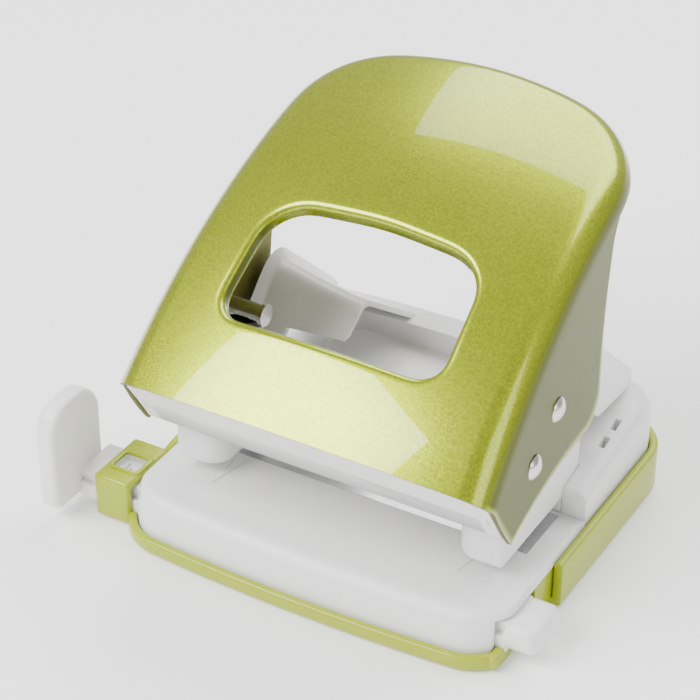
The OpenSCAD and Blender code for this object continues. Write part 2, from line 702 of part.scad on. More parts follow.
// White moulding inside the handle: front strip, two ears on the pins
module liner_strip() {
    polygon([
        [face_y0 + 6.2, face_z0 - 4.6], [face_y0 + 13.5, 43.4], [face_y0 + 18.6, 35],
        [face_y0 + 25, 35.7], [face_y0 + 25, 37.3], [face_y0 + 19.8, 36.8],
        [face_y0 + 15.4, 44.2], [face_y0 + 8.6, face_z0 - 4]]);
}
module handle_liner() {
    ear_x1 = ear_x0 + ear_t;
    color([0.93, 0.93, 0.92]) difference() {
        union() {
            across(-ear_x1, ear_x1) liner_strip();
            for (sx = [-1, 1]) across(sx > 0 ? ear_x0 : -ear_x1, sx > 0 ? ear_x1 : -ear_x0)
                hull() {
                    translate([face_y0 + 14, 45]) circle(r = 2, $fn = 24);
                    translate([face_y0 + 20, 38.5]) circle(r = 2, $fn = 24);
                    translate([drive_y, drive_z]) circle(r = 4.5, $fn = 32);
                    translate([pivot_y, pivot_z]) circle(r = 5.5, $fn = 32);
                }
        }
        rod_x(-base_w, base_w, pivot_y, pivot_z, pin_d / 2 + run);
        rod_x(-base_w, base_w, drive_y, drive_z, pin_d / 2 + 0.01);
    }
}

module punch() {
    translate([half_pitch, 0, punch_tip_z]) difference() {
        cylinder(h = punch_top_z - cap_h - punch_tip_z + 1, r = punch_d / 2, $fn = 64);
        translate([0, 0, -0.2]) rotate([90, 0, 0]) cylinder(h = 20, r = 1.2, center = true, $fn = 32);
    }
}
module punch_right() { color([0.7, 0.7, 0.72]) punch(); }
module punch_left() { color([0.7, 0.7, 0.72]) mirror([1, 0, 0]) punch(); }

module punch_cap() {
    translate([half_pitch, 0, punch_top_z - cap_h]) difference() {
        cylinder(h = cap_h, r = cap_r, $fn = 64);
        translate([0, 0, -over]) cylinder(h = 1 + over, r = punch_d / 2 + 0.01, $fn = 64);
    }
}
module punch_cap_right() { color([0.3, 0.3, 0.32]) punch_cap(); }
module punch_cap_left() { color([0.3, 0.3, 0.32]) mirror([1, 0, 0]) punch_cap(); }

// Coil swept as one skin: rings along a helix, each with ring_sides corners
module coil(z0, z1) {
    ring_sides = 8;
    per_turn = 14;
    rings = spring_turns * per_turn;
    low = z0 + spring_wire / 2;
    rise = z1 - z0 - spring_wire;
    skin([for (i = [0 : rings]) let (a = 360 * i / per_turn, z = low + rise * i / rings)
        [for (j = [0 : ring_sides - 1]) let (b = 360 * j / ring_sides,
            d = spring_r + spring_wire / 2 * cos(b))
            [d * cos(a), d * sin(a), z + spring_wire / 2 * sin(b)]]]);
}
module return_spring() {
    translate([half_pitch, 0, 0]) coil(arm_top_z + seat, punch_top_z - cap_h - seat);
}
module return_spring_right() { color([0.75, 0.75, 0.77]) return_spring(); }
module return_spring_left() { color([0.75, 0.75, 0.77]) mirror([1, 0, 0]) return_spring(); }

module guide_bar() {
    wall = 1.6;
    color([0.94, 0.94, 0.94]) difference() {
        intersection() {
            block(-flag_x, bar_end_x, bar_y0, bar_y1, bar_z0, bar_z1);
            translate([0, 0, bar_z0 - over]) linear_extrude(bar_h + 2 * over)
                offset(r = 4, $fn = 48) offset(delta = -4)
                translate([-flag_x - 20, bar_y0]) square([bar_end_x + flag_x + 20, bar_w]);
        }
        block(-flag_x + 3, bar_end_x - 7, bar_y0 + wall, bar_y1 - wall, bar_z0 - over,
              bar_z1 - wall);
    }
}

module guide_flag() {
    color([0.94, 0.94, 0.94]) across(-flag_x - flag_t, -flag_x) hull() {
        translate([bar_y0 - 10.5 + 9, flag_top_z - 9]) circle(r = 9, $fn = 48);
        translate([bar_y0 - 10.5 + flag_l - 8, flag_top_z - 9.5]) circle(r = 8, $fn = 48);
        translate([bar_y0 - 10.5 + 3, flag_z0 - 5 + 3]) circle(r = 3, $fn = 32);
        translate([bar_y0 - 10.5 + flag_l - 3, flag_z0 - 5 + 3]) circle(r = 3, $fn = 32);
    }
}

module format_label() {
    color([0.97, 0.97, 0.97])
        block(-flag_x + 4, recess_x - 14, window_y - window_l / 2, window_y + window_l / 2,
              bar_z1, bar_z1 + label_t);
}

chip_tray();
table_cover();
rear_cover();
cowl_left();
cowl_right();
die_plate();
chip_door();
door_hinge_pins();
punch_frame_left();
punch_frame_right();
pivot_pin_left();
pivot_pin_right();
pivot_washers();
frame_screws();
base_screws();
rubber_feet();
detent_spring();
format_window();
handle_shell();
handle_liner();
drive_pin_left();
drive_pin_right();
punch_left();
punch_right();
punch_cap_left();
punch_cap_right();
return_spring_left();
return_spring_right();
guide_bar();
guide_flag();
format_label();
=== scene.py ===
import math
import bmesh
import bpy
from mathutils import Matrix, Vector


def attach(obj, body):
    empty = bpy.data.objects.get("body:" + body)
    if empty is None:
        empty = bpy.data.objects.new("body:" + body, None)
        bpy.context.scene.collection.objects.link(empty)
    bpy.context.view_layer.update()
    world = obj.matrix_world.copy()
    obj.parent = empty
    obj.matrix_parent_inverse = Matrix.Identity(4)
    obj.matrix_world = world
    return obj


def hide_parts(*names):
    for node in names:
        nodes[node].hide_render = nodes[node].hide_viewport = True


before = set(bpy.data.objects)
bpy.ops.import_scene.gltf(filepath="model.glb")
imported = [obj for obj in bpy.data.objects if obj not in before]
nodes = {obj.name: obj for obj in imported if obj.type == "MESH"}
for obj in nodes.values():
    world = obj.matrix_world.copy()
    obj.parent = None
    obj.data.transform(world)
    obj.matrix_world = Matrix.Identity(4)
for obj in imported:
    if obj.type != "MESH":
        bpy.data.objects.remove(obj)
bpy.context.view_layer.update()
mm = 0.001
print("frame loaded:", len(nodes), "nodes")

# camera, floor and lights

cameraView = {"place": (254.2, -451.3, 401.3), "azimuth": 30.19, "elevation": 33.62,
              "roll": -0.13, "lens": 123.43}


def makeCamera(v):
    a, e, r = (math.radians(v[k]) for k in ("azimuth", "elevation", "roll"))
    right = Vector((math.cos(a), math.sin(a), 0))
    up = Vector((-math.sin(a) * math.sin(e), math.cos(a) * math.sin(e), math.cos(e)))
    forward = Vector((-math.sin(a) * math.cos(e), math.cos(a) * math.cos(e), -math.sin(e)))
    turnedRight = math.cos(r) * right - math.sin(r) * up
    turnedUp = math.sin(r) * right + math.cos(r) * up
    camera = bpy.data.objects.new("camera", bpy.data.cameras.new("camera"))
    camera.data.lens = v["lens"]
    camera.data.sensor_width = 36
    camera.matrix_world = Matrix.Translation(Vector(v["place"]) * mm) @ Matrix(
        (turnedRight, turnedUp, -forward)).transposed().to_4x4()
    bpy.context.scene.collection.objects.link(camera)
    bpy.context.scene.camera = camera


studio = {"floor": 0.97, "world": 0.95, "worldStrength": 0.62, "glow": 0.22}
softLights = {
    "keyPanel": {"place": (-0.55, -0.75, 1.0), "aim": (0, 0.0, 0.06), "size": (0.9, 0.7), "power": 30},
    "topPanel": {"place": (0.1, 0.8, 1.05), "aim": (0, 0.0, 0.06), "size": (1.5, 0.9), "power": 24},
    "sidePanel": {"place": (1.1, -0.2, 0.55), "aim": (0, 0.0, 0.05), "size": (0.5, 0.7), "power": 3},
}


def makeStudio():
    world = bpy.data.worlds.new("studio")
    bpy.context.scene.world = world
    world.use_nodes = True
    back = world.node_tree.nodes["Background"]
    back.inputs["Color"].default_value = (studio["world"],) * 3 + (1,)
    back.inputs["Strength"].default_value = studio["worldStrength"]
    floorMesh = bpy.data.meshes.new("floor")
    floorMesh.from_pydata([(-6, -6, 0), (6, -6, 0), (6, 6, 0), (-6, 6, 0)], [], [(0, 1, 2, 3)])
    floor = bpy.data.objects.new("floor", floorMesh)
    bpy.context.scene.collection.objects.link(floor)
    paint = bpy.data.materials.new("paleFloor")
    paint.use_nodes = True
    shader = paint.node_tree.nodes["Principled BSDF"]
    shader.inputs["Base Color"].default_value = (studio["floor"],) * 3 + (1,)
    shader.inputs["Roughness"].default_value = 0.7
    shader.inputs["Emission Color"].default_value = (1, 1, 1, 1)
    shader.inputs["Emission Strength"].default_value = studio["glow"]
    floorMesh.materials.append(paint)
    for name, v in softLights.items():
        data = bpy.data.lights.new(name, "AREA")
        data.shape = "RECTANGLE"
        data.size, data.size_y = v["size"]
        data.energy = v["power"]
        lamp = bpy.data.objects.new(name, data)
        lamp.location = v["place"]
        lamp.rotation_euler = (Vector(v["aim"]) - Vector(v["place"])).to_track_quat("-Z", "Y").to_euler()
        bpy.context.scene.collection.objects.link(lamp)


makeCamera(cameraView)
makeStudio()
print("camera and studio ready")

# materials


def grainGroup():
    # fine grain for colour, roughness and bump, used by every finish
    tree = bpy.data.node_groups.new("fineGrain", "ShaderNodeTree")
    face = tree.interface
    for label, value in (("Size", 800.0), ("Stretch", 1.0)):
        face.new_socket(name=label, in_out="INPUT", socket_type="NodeSocketFloat").default_value = value
    face.new_socket(name="Value", in_out="OUTPUT", socket_type="NodeSocketFloat")
    face.new_socket(name="Patch", in_out="OUTPUT", socket_type="NodeSocketFloat")
    new, link = tree.nodes.new, tree.links.new
    inside, outside = new("NodeGroupInput"), new("NodeGroupOutput")
    coords = new("ShaderNodeTexCoord")
    squeeze = new("ShaderNodeVectorMath")
    squeeze.operation = "MULTIPLY"
    stretch = new("ShaderNodeCombineXYZ")
    stretch.inputs["Y"].default_value = 1
    stretch.inputs["Z"].default_value = 1
    link(inside.outputs["Stretch"], stretch.inputs["X"])
    link(coords.outputs["Object"], squeeze.inputs[0])
    link(stretch.outputs[0], squeeze.inputs[1])
    fine = new("ShaderNodeTexNoise")
    fine.inputs["Detail"].default_value = 3
    link(squeeze.outputs[0], fine.inputs["Vector"])
    link(inside.outputs["Size"], fine.inputs["Scale"])
    spread = new("ShaderNodeMapRange")
    spread.inputs["From Min"].default_value = 0.3
    spread.inputs["From Max"].default_value = 0.7
    link(fine.outputs["Fac"], spread.inputs["Value"])
    link(spread.outputs["Result"], outside.inputs["Value"])
    broad = new("ShaderNodeTexNoise")
    broad.inputs["Scale"].default_value = 22
    broad.inputs["Detail"].default_value = 2
    link(coords.outputs["Object"], broad.inputs["Vector"])
    link(broad.outputs["Fac"], outside.inputs["Patch"])
    return tree


fineGrain = grainGroup()


def finish(name, dark, light, rough, metal=0.0, size=800.0, stretch=1.0, bump=0.0, coat=0.0,
           coatRough=0.05, alpha=1.0):
    # colour runs from dark to light with the grain, roughness between the two values of rough
    paint = bpy.data.materials.new(name)
    paint.use_nodes = True
    tree = paint.node_tree
    new, link = tree.nodes.new, tree.links.new
    shader = tree.nodes["Principled BSDF"]
    grain = new("ShaderNodeGroup")
    grain.node_tree = fineGrain
    grain.inputs["Size"].default_value = size
    grain.inputs["Stretch"].default_value = stretch
    mix = new("ShaderNodeMix")
    mix.data_type = "RGBA"
    mix.inputs[6].default_value = tuple(dark) + (1,)
    mix.inputs[7].default_value = tuple(light) + (1,)
    link(grain.outputs["Value"], mix.inputs[0])
    link(mix.outputs[2], shader.inputs["Base Color"])
    gloss = new("ShaderNodeMapRange")
    gloss.inputs["From Min"].default_value = 0.3
    gloss.inputs["From Max"].default_value = 0.7
    gloss.inputs["To Min"].default_value = rough[0]
    gloss.inputs["To Max"].default_value = rough[1]
    link(grain.outputs["Patch"], gloss.inputs["Value"])
    link(gloss.outputs["Result"], shader.inputs["Roughness"])
    shader.inputs["Metallic"].default_value = metal
    shader.inputs["Coat Weight"].default_value = coat
    shader.inputs["Coat Roughness"].default_value = coatRough
    shader.inputs["Alpha"].default_value = alpha
    if bump:
        relief = new("ShaderNodeBump")
        relief.inputs["Strength"].default_value = 1
        relief.inputs["Distance"].default_value = bump * mm
        link(grain.outputs["Value"], relief.inputs["Height"])
        link(relief.outputs["Normal"], shader.inputs["Normal"])
    return paint


limeLacquer = finish("limeLacquer", (0.25, 0.31, 0.0), (0.42, 0.49, 0.002), (0.26, 0.32), metal=0.75,
                     size=1500, bump=0.006, coat=1.0, coatRough=0.03)
limeInside = finish("limeInside", (0.16, 0.15, 0.02), (0.20, 0.19, 0.03), (0.45, 0.55), metal=0.4, size=1200)
cutEdge = finish("cutEdge", (0.09, 0.09, 0.03), (0.14, 0.13, 0.05), (0.4, 0.5), metal=0.6, size=900)
limePlastic = finish("limePlastic", (0.33, 0.39, 0.001), (0.38, 0.44, 0.002), (0.26, 0.34), size=1100,
                     bump=0.008)
whitePlastic = finish("whitePlastic", (0.80, 0.80, 0.79), (0.83, 0.83, 0.82), (0.28, 0.38), size=900,
                      bump=0.008)
guidePlastic = finish("guidePlastic", (0.84, 0.83, 0.82), (0.87, 0.86, 0.85), (0.3, 0.4), size=900,
                      bump=0.008)
plateSteel = finish("plateSteel", (0.55, 0.56, 0.57), (0.72, 0.73, 0.74), (0.25, 0.38), metal=1.0,
                    size=2600, stretch=0.03, bump=0.004)
pinSteel = finish("pinSteel", (0.60, 0.59, 0.57), (0.74, 0.73, 0.71), (0.16, 0.28), metal=1.0,
                  size=1400, bump=0.006)
toolSteel = finish("toolSteel", (0.42, 0.43, 0.44), (0.6, 0.61, 0.62), (0.2, 0.3), metal=1.0,
                   size=2200, stretch=0.1)
blackSteel = finish("blackSteel", (0.035, 0.035, 0.038), (0.07, 0.07, 0.075), (0.35, 0.5), metal=0.5,
                    size=1200)
springSteel = finish("springSteel", (0.5, 0.5, 0.51), (0.68, 0.68, 0.69), (0.2, 0.3), metal=1.0, size=1800)
zincSteel = finish("zincSteel", (0.52, 0.54, 0.56), (0.68, 0.7, 0.72), (0.22, 0.34), metal=1.0, size=1600)
washerPlastic = finish("washerPlastic", (0.62, 0.62, 0.6), (0.7, 0.7, 0.68), (0.4, 0.5), size=900)
footRubber = finish("footRubber", (0.018, 0.018, 0.018), (0.035, 0.035, 0.036), (0.7, 0.85), size=1600,
                    bump=0.02)
clearWindow = finish("clearWindow", (0.92, 0.94, 0.95), (0.95, 0.97, 0.98), (0.05, 0.08), size=500,
                     alpha=0.25)
labelPaper = finish("labelPaper", (0.86, 0.86, 0.85), (0.9, 0.9, 0.89), (0.55, 0.65), size=2400, bump=0.003)
printInk = finish("printInk", (0.012, 0.012, 0.014), (0.02, 0.02, 0.022), (0.4, 0.5), size=2000)


def paintShadeOnSides(paint, dark, coat, specular):
    # painted shade on the side panels: where the piece's own side-shade attribute is 1, the colour darkens
    # and metal, coat and specular drop
    tree = paint.node_tree
    new, link = tree.nodes.new, tree.links.new
    shader = tree.nodes["Principled BSDF"]
    colour = shader.inputs["Base Color"].links[0].from_socket
    shade = new("ShaderNodeAttribute")
    shade.attribute_name = "paintedSideShade"
    mix = new("ShaderNodeMix")
    mix.data_type = "RGBA"
    mix.inputs[7].default_value = tuple(dark) + (1,)
    link(shade.outputs["Fac"], mix.inputs[0])
    link(colour, mix.inputs[6])
    link(mix.outputs[2], shader.inputs["Base Color"])
    shader.inputs["Specular IOR Level"].default_value = specular
    for socket, front, side in (("Metallic", shader.inputs["Metallic"].default_value, 0.0),
                                ("Coat Weight", shader.inputs["Coat Weight"].default_value, coat)):
        level = new("ShaderNodeMapRange")
        level.inputs["To Min"].default_value = front
        level.inputs["To Max"].default_value = side
        link(shade.outputs["Fac"], level.inputs["Value"])
        link(level.outputs["Result"], shader.inputs[socket])


# painted shade: the lacquer's side panels get a dark olive colour and little coat and specular
paintShadeOnSides(limeLacquer, (0.085, 0.098, 0.006), coat=0.12, specular=0.12)
print("materials ready")

# mesh helpers


def piece(name, points, faces, paints, slots=None, sharp=35, outward=True):
    mesh = bpy.data.meshes.new(name)
    mesh.from_pydata([Vector(p) * mm for p in points], [], faces)
    for paint in paints:
        mesh.materials.append(paint)
    if slots:
        mesh.polygons.foreach_set("material_index", slots)
    if outward:
        work = bmesh.new()
        work.from_mesh(mesh)
        bmesh.ops.remove_doubles(work, verts=work.verts, dist=1e-6)
        bmesh.ops.recalc_face_normals(work, faces=work.faces)
        work.to_mesh(mesh)
        work.free()
    mesh.shade_smooth()
    if sharp:
        mesh.set_sharp_from_angle(angle=math.radians(sharp))
    made = bpy.data.objects.new(name, mesh)
    bpy.context.scene.collection.objects.link(made)
    return made


def loft(rings, closed=True, capStart=True, capEnd=True):
    # rings of equal length joined into a skin
    n = len(rings[0])
    faces = []
    for i in range(len(rings) - 1):
        for j in range(n if closed else n - 1):
            k = (j + 1) % n
            faces.append((i * n + j, i * n + k, (i + 1) * n + k, (i + 1) * n + j))
    if capStart:
        faces.append(tuple(range(n)))
    if capEnd:
        last = (len(rings) - 1) * n
        faces.append(tuple(last + j for j in reversed(range(n))))
    return [p for ring in rings for p in ring], faces


def settle(made, sharp=35):
    # the modifiers' result becomes the mesh
    grid = bpy.context.evaluated_depsgraph_get()
    mesh = bpy.data.meshes.new_from_object(made.evaluated_get(grid))
    mesh.name = made.name
    made.modifiers.clear()
    made.data = mesh
    mesh.shade_smooth()
    if sharp:
        mesh.set_sharp_from_angle(angle=math.radians(sharp))
    return made


def bevel(made, width, segments=3, angle=30):
    m = made.modifiers.new("softEdge", "BEVEL")
    m.width = width * mm
    m.segments = segments
    m.limit_method = "ANGLE"
    m.angle_limit = math.radians(angle)
    m.harden_normals = False
    return made


def cut(made, tool, how="DIFFERENCE"):
    m = made.modifiers.new("cut", "BOOLEAN")
    m.operation = how
    m.solver = "EXACT"
    m.object = tool
    settle(made)
    bpy.data.objects.remove(tool)
    return made


def prism(name, outline, axis, low, high, paint):
    # a flat outline stretched along one axis: axis 0 takes (y, z), 1 takes (x, z), 2 takes (x, y)
    def at(p, t):
        q = list(p)
        q.insert(axis, t)
        return q

    points, faces = loft([[at(p, low) for p in outline], [at(p, high) for p in outline]])
    return piece(name, points, faces, [paint])


def rounded(corners, radii, steps=8):
    # polygon with a round at each corner
    out = []
    n = len(corners)
    for i, c in enumerate(corners):
        c = Vector(c)
        a = (Vector(corners[i - 1]) - c)
        b = (Vector(corners[(i + 1) % n]) - c)
        r = radii[i] if isinstance(radii, (list, tuple)) else radii
        if r <= 0:
            out.append(tuple(c))
            continue
        la, lb = a.length, b.length
        a, b = a / la, b / lb
        half = a.angle(b) / 2
        reach = min(r / math.tan(half), 0.49 * la, 0.49 * lb)
        r = reach * math.tan(half)
        centre = c + (a + b).normalized() * (r / math.sin(half))
        p0, p1 = c + a * reach - centre, c + b * reach - centre
        turn = p0.angle_signed(p1)
        for k in range(steps + 1):
            t = -turn * k / steps
            out.append((centre.x + p0.x * math.cos(t) - p0.y * math.sin(t),
                        centre.y + p0.x * math.sin(t) + p0.y * math.cos(t)))
    return out


def block(name, low, high, paint, soft=0.0, segments=3):
    outline = [(low[0], low[1]), (high[0], low[1]), (high[0], high[1]), (low[0], high[1])]
    made = prism(name, outline, 2, low[2], high[2], paint)
    if soft:
        bevel(made, soft, segments)
    return made


def turned(name, profile, centre, axis, paint, steps=48):
    # profile of (radius, along) spun about an axis through centre
    rings = []
    for r, t in profile:
        ring = []
        for k in range(steps):
            a = 2 * math.pi * k / steps
            p = [r * math.cos(a), r * math.sin(a)]
            p.insert(axis, t)
            ring.append([centre[i] + p[i] for i in range(3)])
        rings.append(ring)
    points, faces = loft(rings)
    return piece(name, points, faces, [paint])


def join(parts, name):
    # several meshes become one piece
    work = bmesh.new()
    paints = []
    for part in parts:
        if part.modifiers:
            settle(part)
        base = len(paints)
        paints.extend(part.data.materials)
        start = len(work.faces)
        work.from_mesh(part.data)
        work.faces.ensure_lookup_table()
        for face in work.faces[start:]:
            face.material_index += base
    mesh = bpy.data.meshes.new(name)
    work.to_mesh(mesh)
    work.free()
    for paint in paints:
        mesh.materials.append(paint)
    for part in parts:
        bpy.data.objects.remove(part)
    made = bpy.data.objects.new(name, mesh)
    bpy.context.scene.collection.objects.link(made)
    return made


def mirrored(made, name):
    # copy on the other side of the middle plane
    mesh = made.data.copy()
    mesh.name = name
    mesh.transform(Matrix.Scale(-1, 4, (1, 0, 0)))
    mesh.flip_normals()
    copy = bpy.data.objects.new(name, mesh)
    bpy.context.scene.collection.objects.link(copy)
    return copy


def resample(path, count):
    # count points spaced evenly along a polyline
    path = [Vector(p) for p in path]
    lengths = [0.0]
    for a, b in zip(path, path[1:]):
        lengths.append(lengths[-1] + (b - a).length)
    out = []
    j = 0
    for i in range(count):
        t = lengths[-1] * i / (count - 1)
        while j < len(path) - 2 and lengths[j + 1] < t:
            j += 1
        span = lengths[j + 1] - lengths[j]
        out.append(path[j].lerp(path[j + 1], (t - lengths[j]) / span if span else 0))
    return out


def smoothed(path, rounds, weight=0.5):
    path = [Vector(p) for p in path]
    for _ in range(rounds):
        inner = [p.lerp((a + b) / 2, weight) for a, p, b in zip(path, path[1:], path[2:])]
        path = [path[0]] + inner + [path[-1]]
    return path


# handle shell

handle = {"halfWidth": 54.1, "length": 123.8, "slopeFront": 45.0, "slopeCrown": 8.0,
          "narrowing": 5.6, "crossBow": 7.0, "crownBow": 2.0, "startY": -48.0, "startZ": 59.4,
          "sheet": 1.2, "bend": 7.0, "cornerRadius": 27.0, "crownFlange": 9.5, "crownDrop": 2.0,
          "leastDrop": 0.9, "crownFade": 14, "rimSmoothing": 60, "paintedShadeFrom": 0.72, "paintedShadeOver": 0.25}
opening = {"low": 24.5, "length": 36.0, "width": 64.0, "lowRound": 6.5, "highRound": 12.0,
           "topRound": 90.0, "topRise": 0.6, "shoulder": (1.5, 1.2), "lipRadius": 2.0, "lipDepth": 4.2,
           "smoothing": 30, "points": 400}
shellGrid = {"side": 76, "crown": 48, "front": 60, "rings": 26, "bend": 9, "flange": 14, "lip": 6}
# side panel's lower edge seen from the side, from the front corner: front tip, heel, rear edge
panelEdge = {"above": (8, -30), "tip": (19.3, -25.4), "heel": (74.5, -20), "rear": (80.2, 30),
             "rounds": (0, 2.5, 9, 14, 5, 0), "past": (20, 4), "roundSteps": 10}
# along and out of the face at the panel's front edge
panelFront = {"middle": ((-1.6, -19.0), (-3.2, -25.5)), "fade": 3}
arcRadius = handle["length"] / math.radians(handle["slopeFront"] - handle["slopeCrown"])


def facePoint(x, s, n):
    # x across, s along the face, n out of it
    start = math.radians(handle["slopeFront"])
    if s <= 0:
        a, y, z = start, handle["startY"] + s * math.cos(start), handle["startZ"] + s * math.sin(start)
    else:
        a = start - s / arcRadius
        y = handle["startY"] + arcRadius * (math.sin(start) - math.sin(a))
        z = handle["startZ"] + arcRadius * (math.cos(a) - math.cos(start))
    return Vector((x, y - n * math.sin(a), z + n * math.cos(a)))


def faceCoords(y, z):
    # the reverse: y and z to s and n
    start = math.radians(handle["slopeFront"])
    cy = handle["startY"] + arcRadius * math.sin(start)
    cz = handle["startZ"] - arcRadius * math.cos(start)
    a = math.atan2(cy - y, z - cz)
    if a <= start:
        return Vector(((start - a) * arcRadius, math.hypot(cy - y, z - cz) - arcRadius))
    dy, dz = y - handle["startY"], z - handle["startZ"]
    return Vector((dy * math.cos(start) + dz * math.sin(start), -dy * math.sin(start) + dz * math.cos(start)))


def halfWidthAt(s):
    return handle["halfWidth"] - handle["narrowing"] * s / handle["length"]


def bowAt(x):
    return -handle["crossBow"] * (x / handle["halfWidth"]) ** 2


def handleOutline():
    # right side from the front up to the crown, then the mirror image down the left
    top = handle["length"] - handle["cornerRadius"]
    w, r = halfWidthAt(top), handle["cornerRadius"]
    path = [(halfWidthAt(top * i / 100), top * i / 100) for i in range(100)]
    path += [(w - r + r * math.cos(math.radians(90 * i / 40)), top + r * math.sin(math.radians(90 * i / 40)))
             for i in range(40)]
    path += [((w - r) * k, handle["length"] + handle["crownBow"] * (1 - k * k))
             for k in [1 - i / 30 for i in range(31)]]
    path += [(-x, s) for x, s in reversed(path[:-1])]
    return smoothed(resample(path, 321), handle["rimSmoothing"])


def nearest(path, x, s):
    return min(range(len(path)), key=lambda i: (path[i] - Vector((x, s))).length)


def openingOutline():
    # closed outline of the finger opening from its lower right corner, anticlockwise
    w, low, (inX, inS) = opening["width"] / 2, opening["low"], opening["shoulder"]
    high, n = low + opening["length"], opening["points"]
    corners = [(w, low), (w - inX, high - inS), (0, high + opening["topRise"]), (-w + inX, high - inS),
               (-w, low)]
    rounds = [opening[k] for k in ("lowRound", "highRound", "topRound", "highRound", "lowRound")]
    path = rounded(corners, rounds, 14)
    path = smoothed(resample(path + [path[0]], n)[:-1] * 2, opening["smoothing"])[n // 2:n // 2 + n]
    start = nearest(path, w, low)
    return path[start:] + path[:start]


def shellPatch():
    side, crown, front, rings, bends, steps, lip = (
        shellGrid[k] for k in ("side", "crown", "front", "rings", "bend", "flange", "lip"))
    outline = handleOutline()
    cornerAt = next(i for i, p in enumerate(outline)
                    if p.y > handle["length"] - handle["cornerRadius"] * 0.3)
    right = resample(outline[:cornerAt + 1], side)
    over = resample(outline[cornerAt:len(outline) - cornerAt], crown)
    left = [Vector((-p.x, p.y)) for p in reversed(right)]
    rim = right + over[1:-1] + left
    inward = []
    for i, p in enumerate(rim):
        a, b = rim[max(0, i - 1)], rim[min(len(rim) - 1, i + 1)]
        d = (b - a).normalized()
        inward.append(Vector((-d.y, d.x)))
    inward[0], inward[-1] = Vector((-1, 0)), Vector((1, 0))
    bend = handle["bend"]
    inner = [p + bend * q for p, q in zip(rim, inward)]
    frontEdge = [Vector((x, 0)) for x in
                 [inner[-1].x + (inner[0].x - inner[-1].x) * i / (front - 1) for i in range(front)]][1:-1]
    outer = inner + frontEdge
    hole = openingOutline()
    w, high = opening["width"] / 2, opening["low"] + opening["length"]
    inX, inS = opening["shoulder"]
    highCorner, highLeft = nearest(hole, w - inX, high - inS), nearest(hole, inX - w, high - inS)
    lowLeft = nearest(hole, -w, opening["low"])
    holeRim = (resample(hole[:highCorner + 1], side)
               + resample(hole[highCorner:highLeft + 1], crown)[1:-1]
               + resample(hole[highLeft:lowLeft + 1], side)
               + resample(hole[lowLeft:] + hole[:1], front)[1:-1])
    n = len(holeRim)
    outwardOf = []
    for i in range(n):
        d = (holeRim[(i + 2) % n] - holeRim[i - 2]).normalized()
        outwardOf.append(Vector((d.y, -d.x)))
    r = opening["lipRadius"]
    rows = []
    for depth in (opening["lipDepth"], (opening["lipDepth"] + r) / 2):
        rows.append([facePoint(p.x, p.y, bowAt(p.x) - depth) for p in holeRim])
    for k in range(lip + 1):
        t = math.radians(90 * k / lip)
        row = []
        for p, q in zip(holeRim, outwardOf):
            m = p + q * r * (1 - math.cos(t))
            row.append(facePoint(m.x, m.y, bowAt(m.x) - r * (1 - math.sin(t))))
        rows.append(row)
    start = [p + q * r for p, q in zip(holeRim, outwardOf)]
    for k in range(1, rings + 1):
        t = k / rings
        row = [p.lerp(q, t) for p, q in zip(start, outer)]
        rows.append([facePoint(m.x, m.y, bowAt(m.x)) for m in row])
    points = [p for row in rows for p in row]
    faces = []
    for i in range(len(rows) - 1):
        for j in range(n):
            k = (j + 1) % n
            faces.append((i * n + j, i * n + k, (i + 1) * n + k, (i + 1) * n + j))

    def rimWidth(s):
        for a, b in zip(right, right[1:]):
            if a.y <= s < b.y:
                return a.x + (b.x - a.x) * (s - a.y) / (b.y - a.y)
        return halfWidthAt(s)

    # bend, then the side panels and the crown's flange
    m = len(rim)
    above = [(len(rows) - 1) * n + j for j in range(m)]
    for k in range(bends - 1, -1, -1):
        t = math.radians(90 * k / bends)
        row = []
        for p, q in zip(rim, inward):
            d = bend * (1 - math.cos(t))
            c = p + q * d
            row.append(len(points))
            points.append(facePoint(c.x, c.y, bowAt(c.x) - bend * (1 - math.sin(t))))
        for j in range(m - 1):
            faces.append((above[j], above[j + 1], row[j + 1], row[j]))
        above = row
    y0, z0 = handle["startY"], handle["startZ"]
    topS = handle["length"] - handle["cornerRadius"]
    last = next(i for i, p in enumerate(rim) if p.y > topS)
    rearDepth = -handle["crownFlange"] - handle["crownDrop"]
    c = facePoint(0, rim[last].y, rearDepth)
    marks = [(y0 + panelEdge[k][0], z0 + panelEdge[k][1]) for k in ("above", "tip", "heel", "rear")]
    marks += [(c.y, c.z), (c.y + panelEdge["past"][0], c.z + panelEdge["past"][1])]
    trim = 1 + panelEdge["roundSteps"] // 2
    lower = rounded(marks, panelEdge["rounds"], panelEdge["roundSteps"])[trim:-trim]
    tip = faceCoords(*lower[0])
    lower = resample([faceCoords(*p) for p in lower], last + 1)
    frontCurve = [(0.0, -handle["crossBow"] - bend), *panelFront["middle"], (tip.x, tip.y)]
    frontPath = resample(smoothed(resample(frontCurve, 41), 30), steps + 1)
    bottoms = []
    for i, p in enumerate(rim[:m // 2 + 1]):
        if i <= last:
            bottoms.append(lower[i])
        else:
            bottoms.append(Vector((p.y, rearDepth + min(1, (i - last) / handle["crownFade"]))))
    bottoms += [b.copy() for b in reversed(bottoms[:m - len(bottoms)])]
    tops = [Vector((p.y, bowAt(p.x) - bend)) for p in rim]
    bottoms = [Vector((b.x, min(b.y, t.y - handle["leastDrop"]))) for b, t in zip(bottoms, tops)]
    for k in range(1, steps + 1):
        t = k / steps
        row = []
        for j in range(m):
            near = min(j, m - 1 - j)
            q = tops[j].lerp(bottoms[j], t)
            if near < last:
                fade = (1 - near / last) ** panelFront["fade"]
                q = q + (frontPath[k] - tops[0].lerp(bottoms[0], t)) * fade
            x = rimWidth(q.x) * (1 if j < m / 2 else -1) if near <= last else rim[j].x
            row.append(len(points))
            points.append(facePoint(x, q.x, q.y))
        for j in range(m - 1):
            faces.append((above[j], above[j + 1], row[j + 1], row[j]))
        above = row
    return points, faces


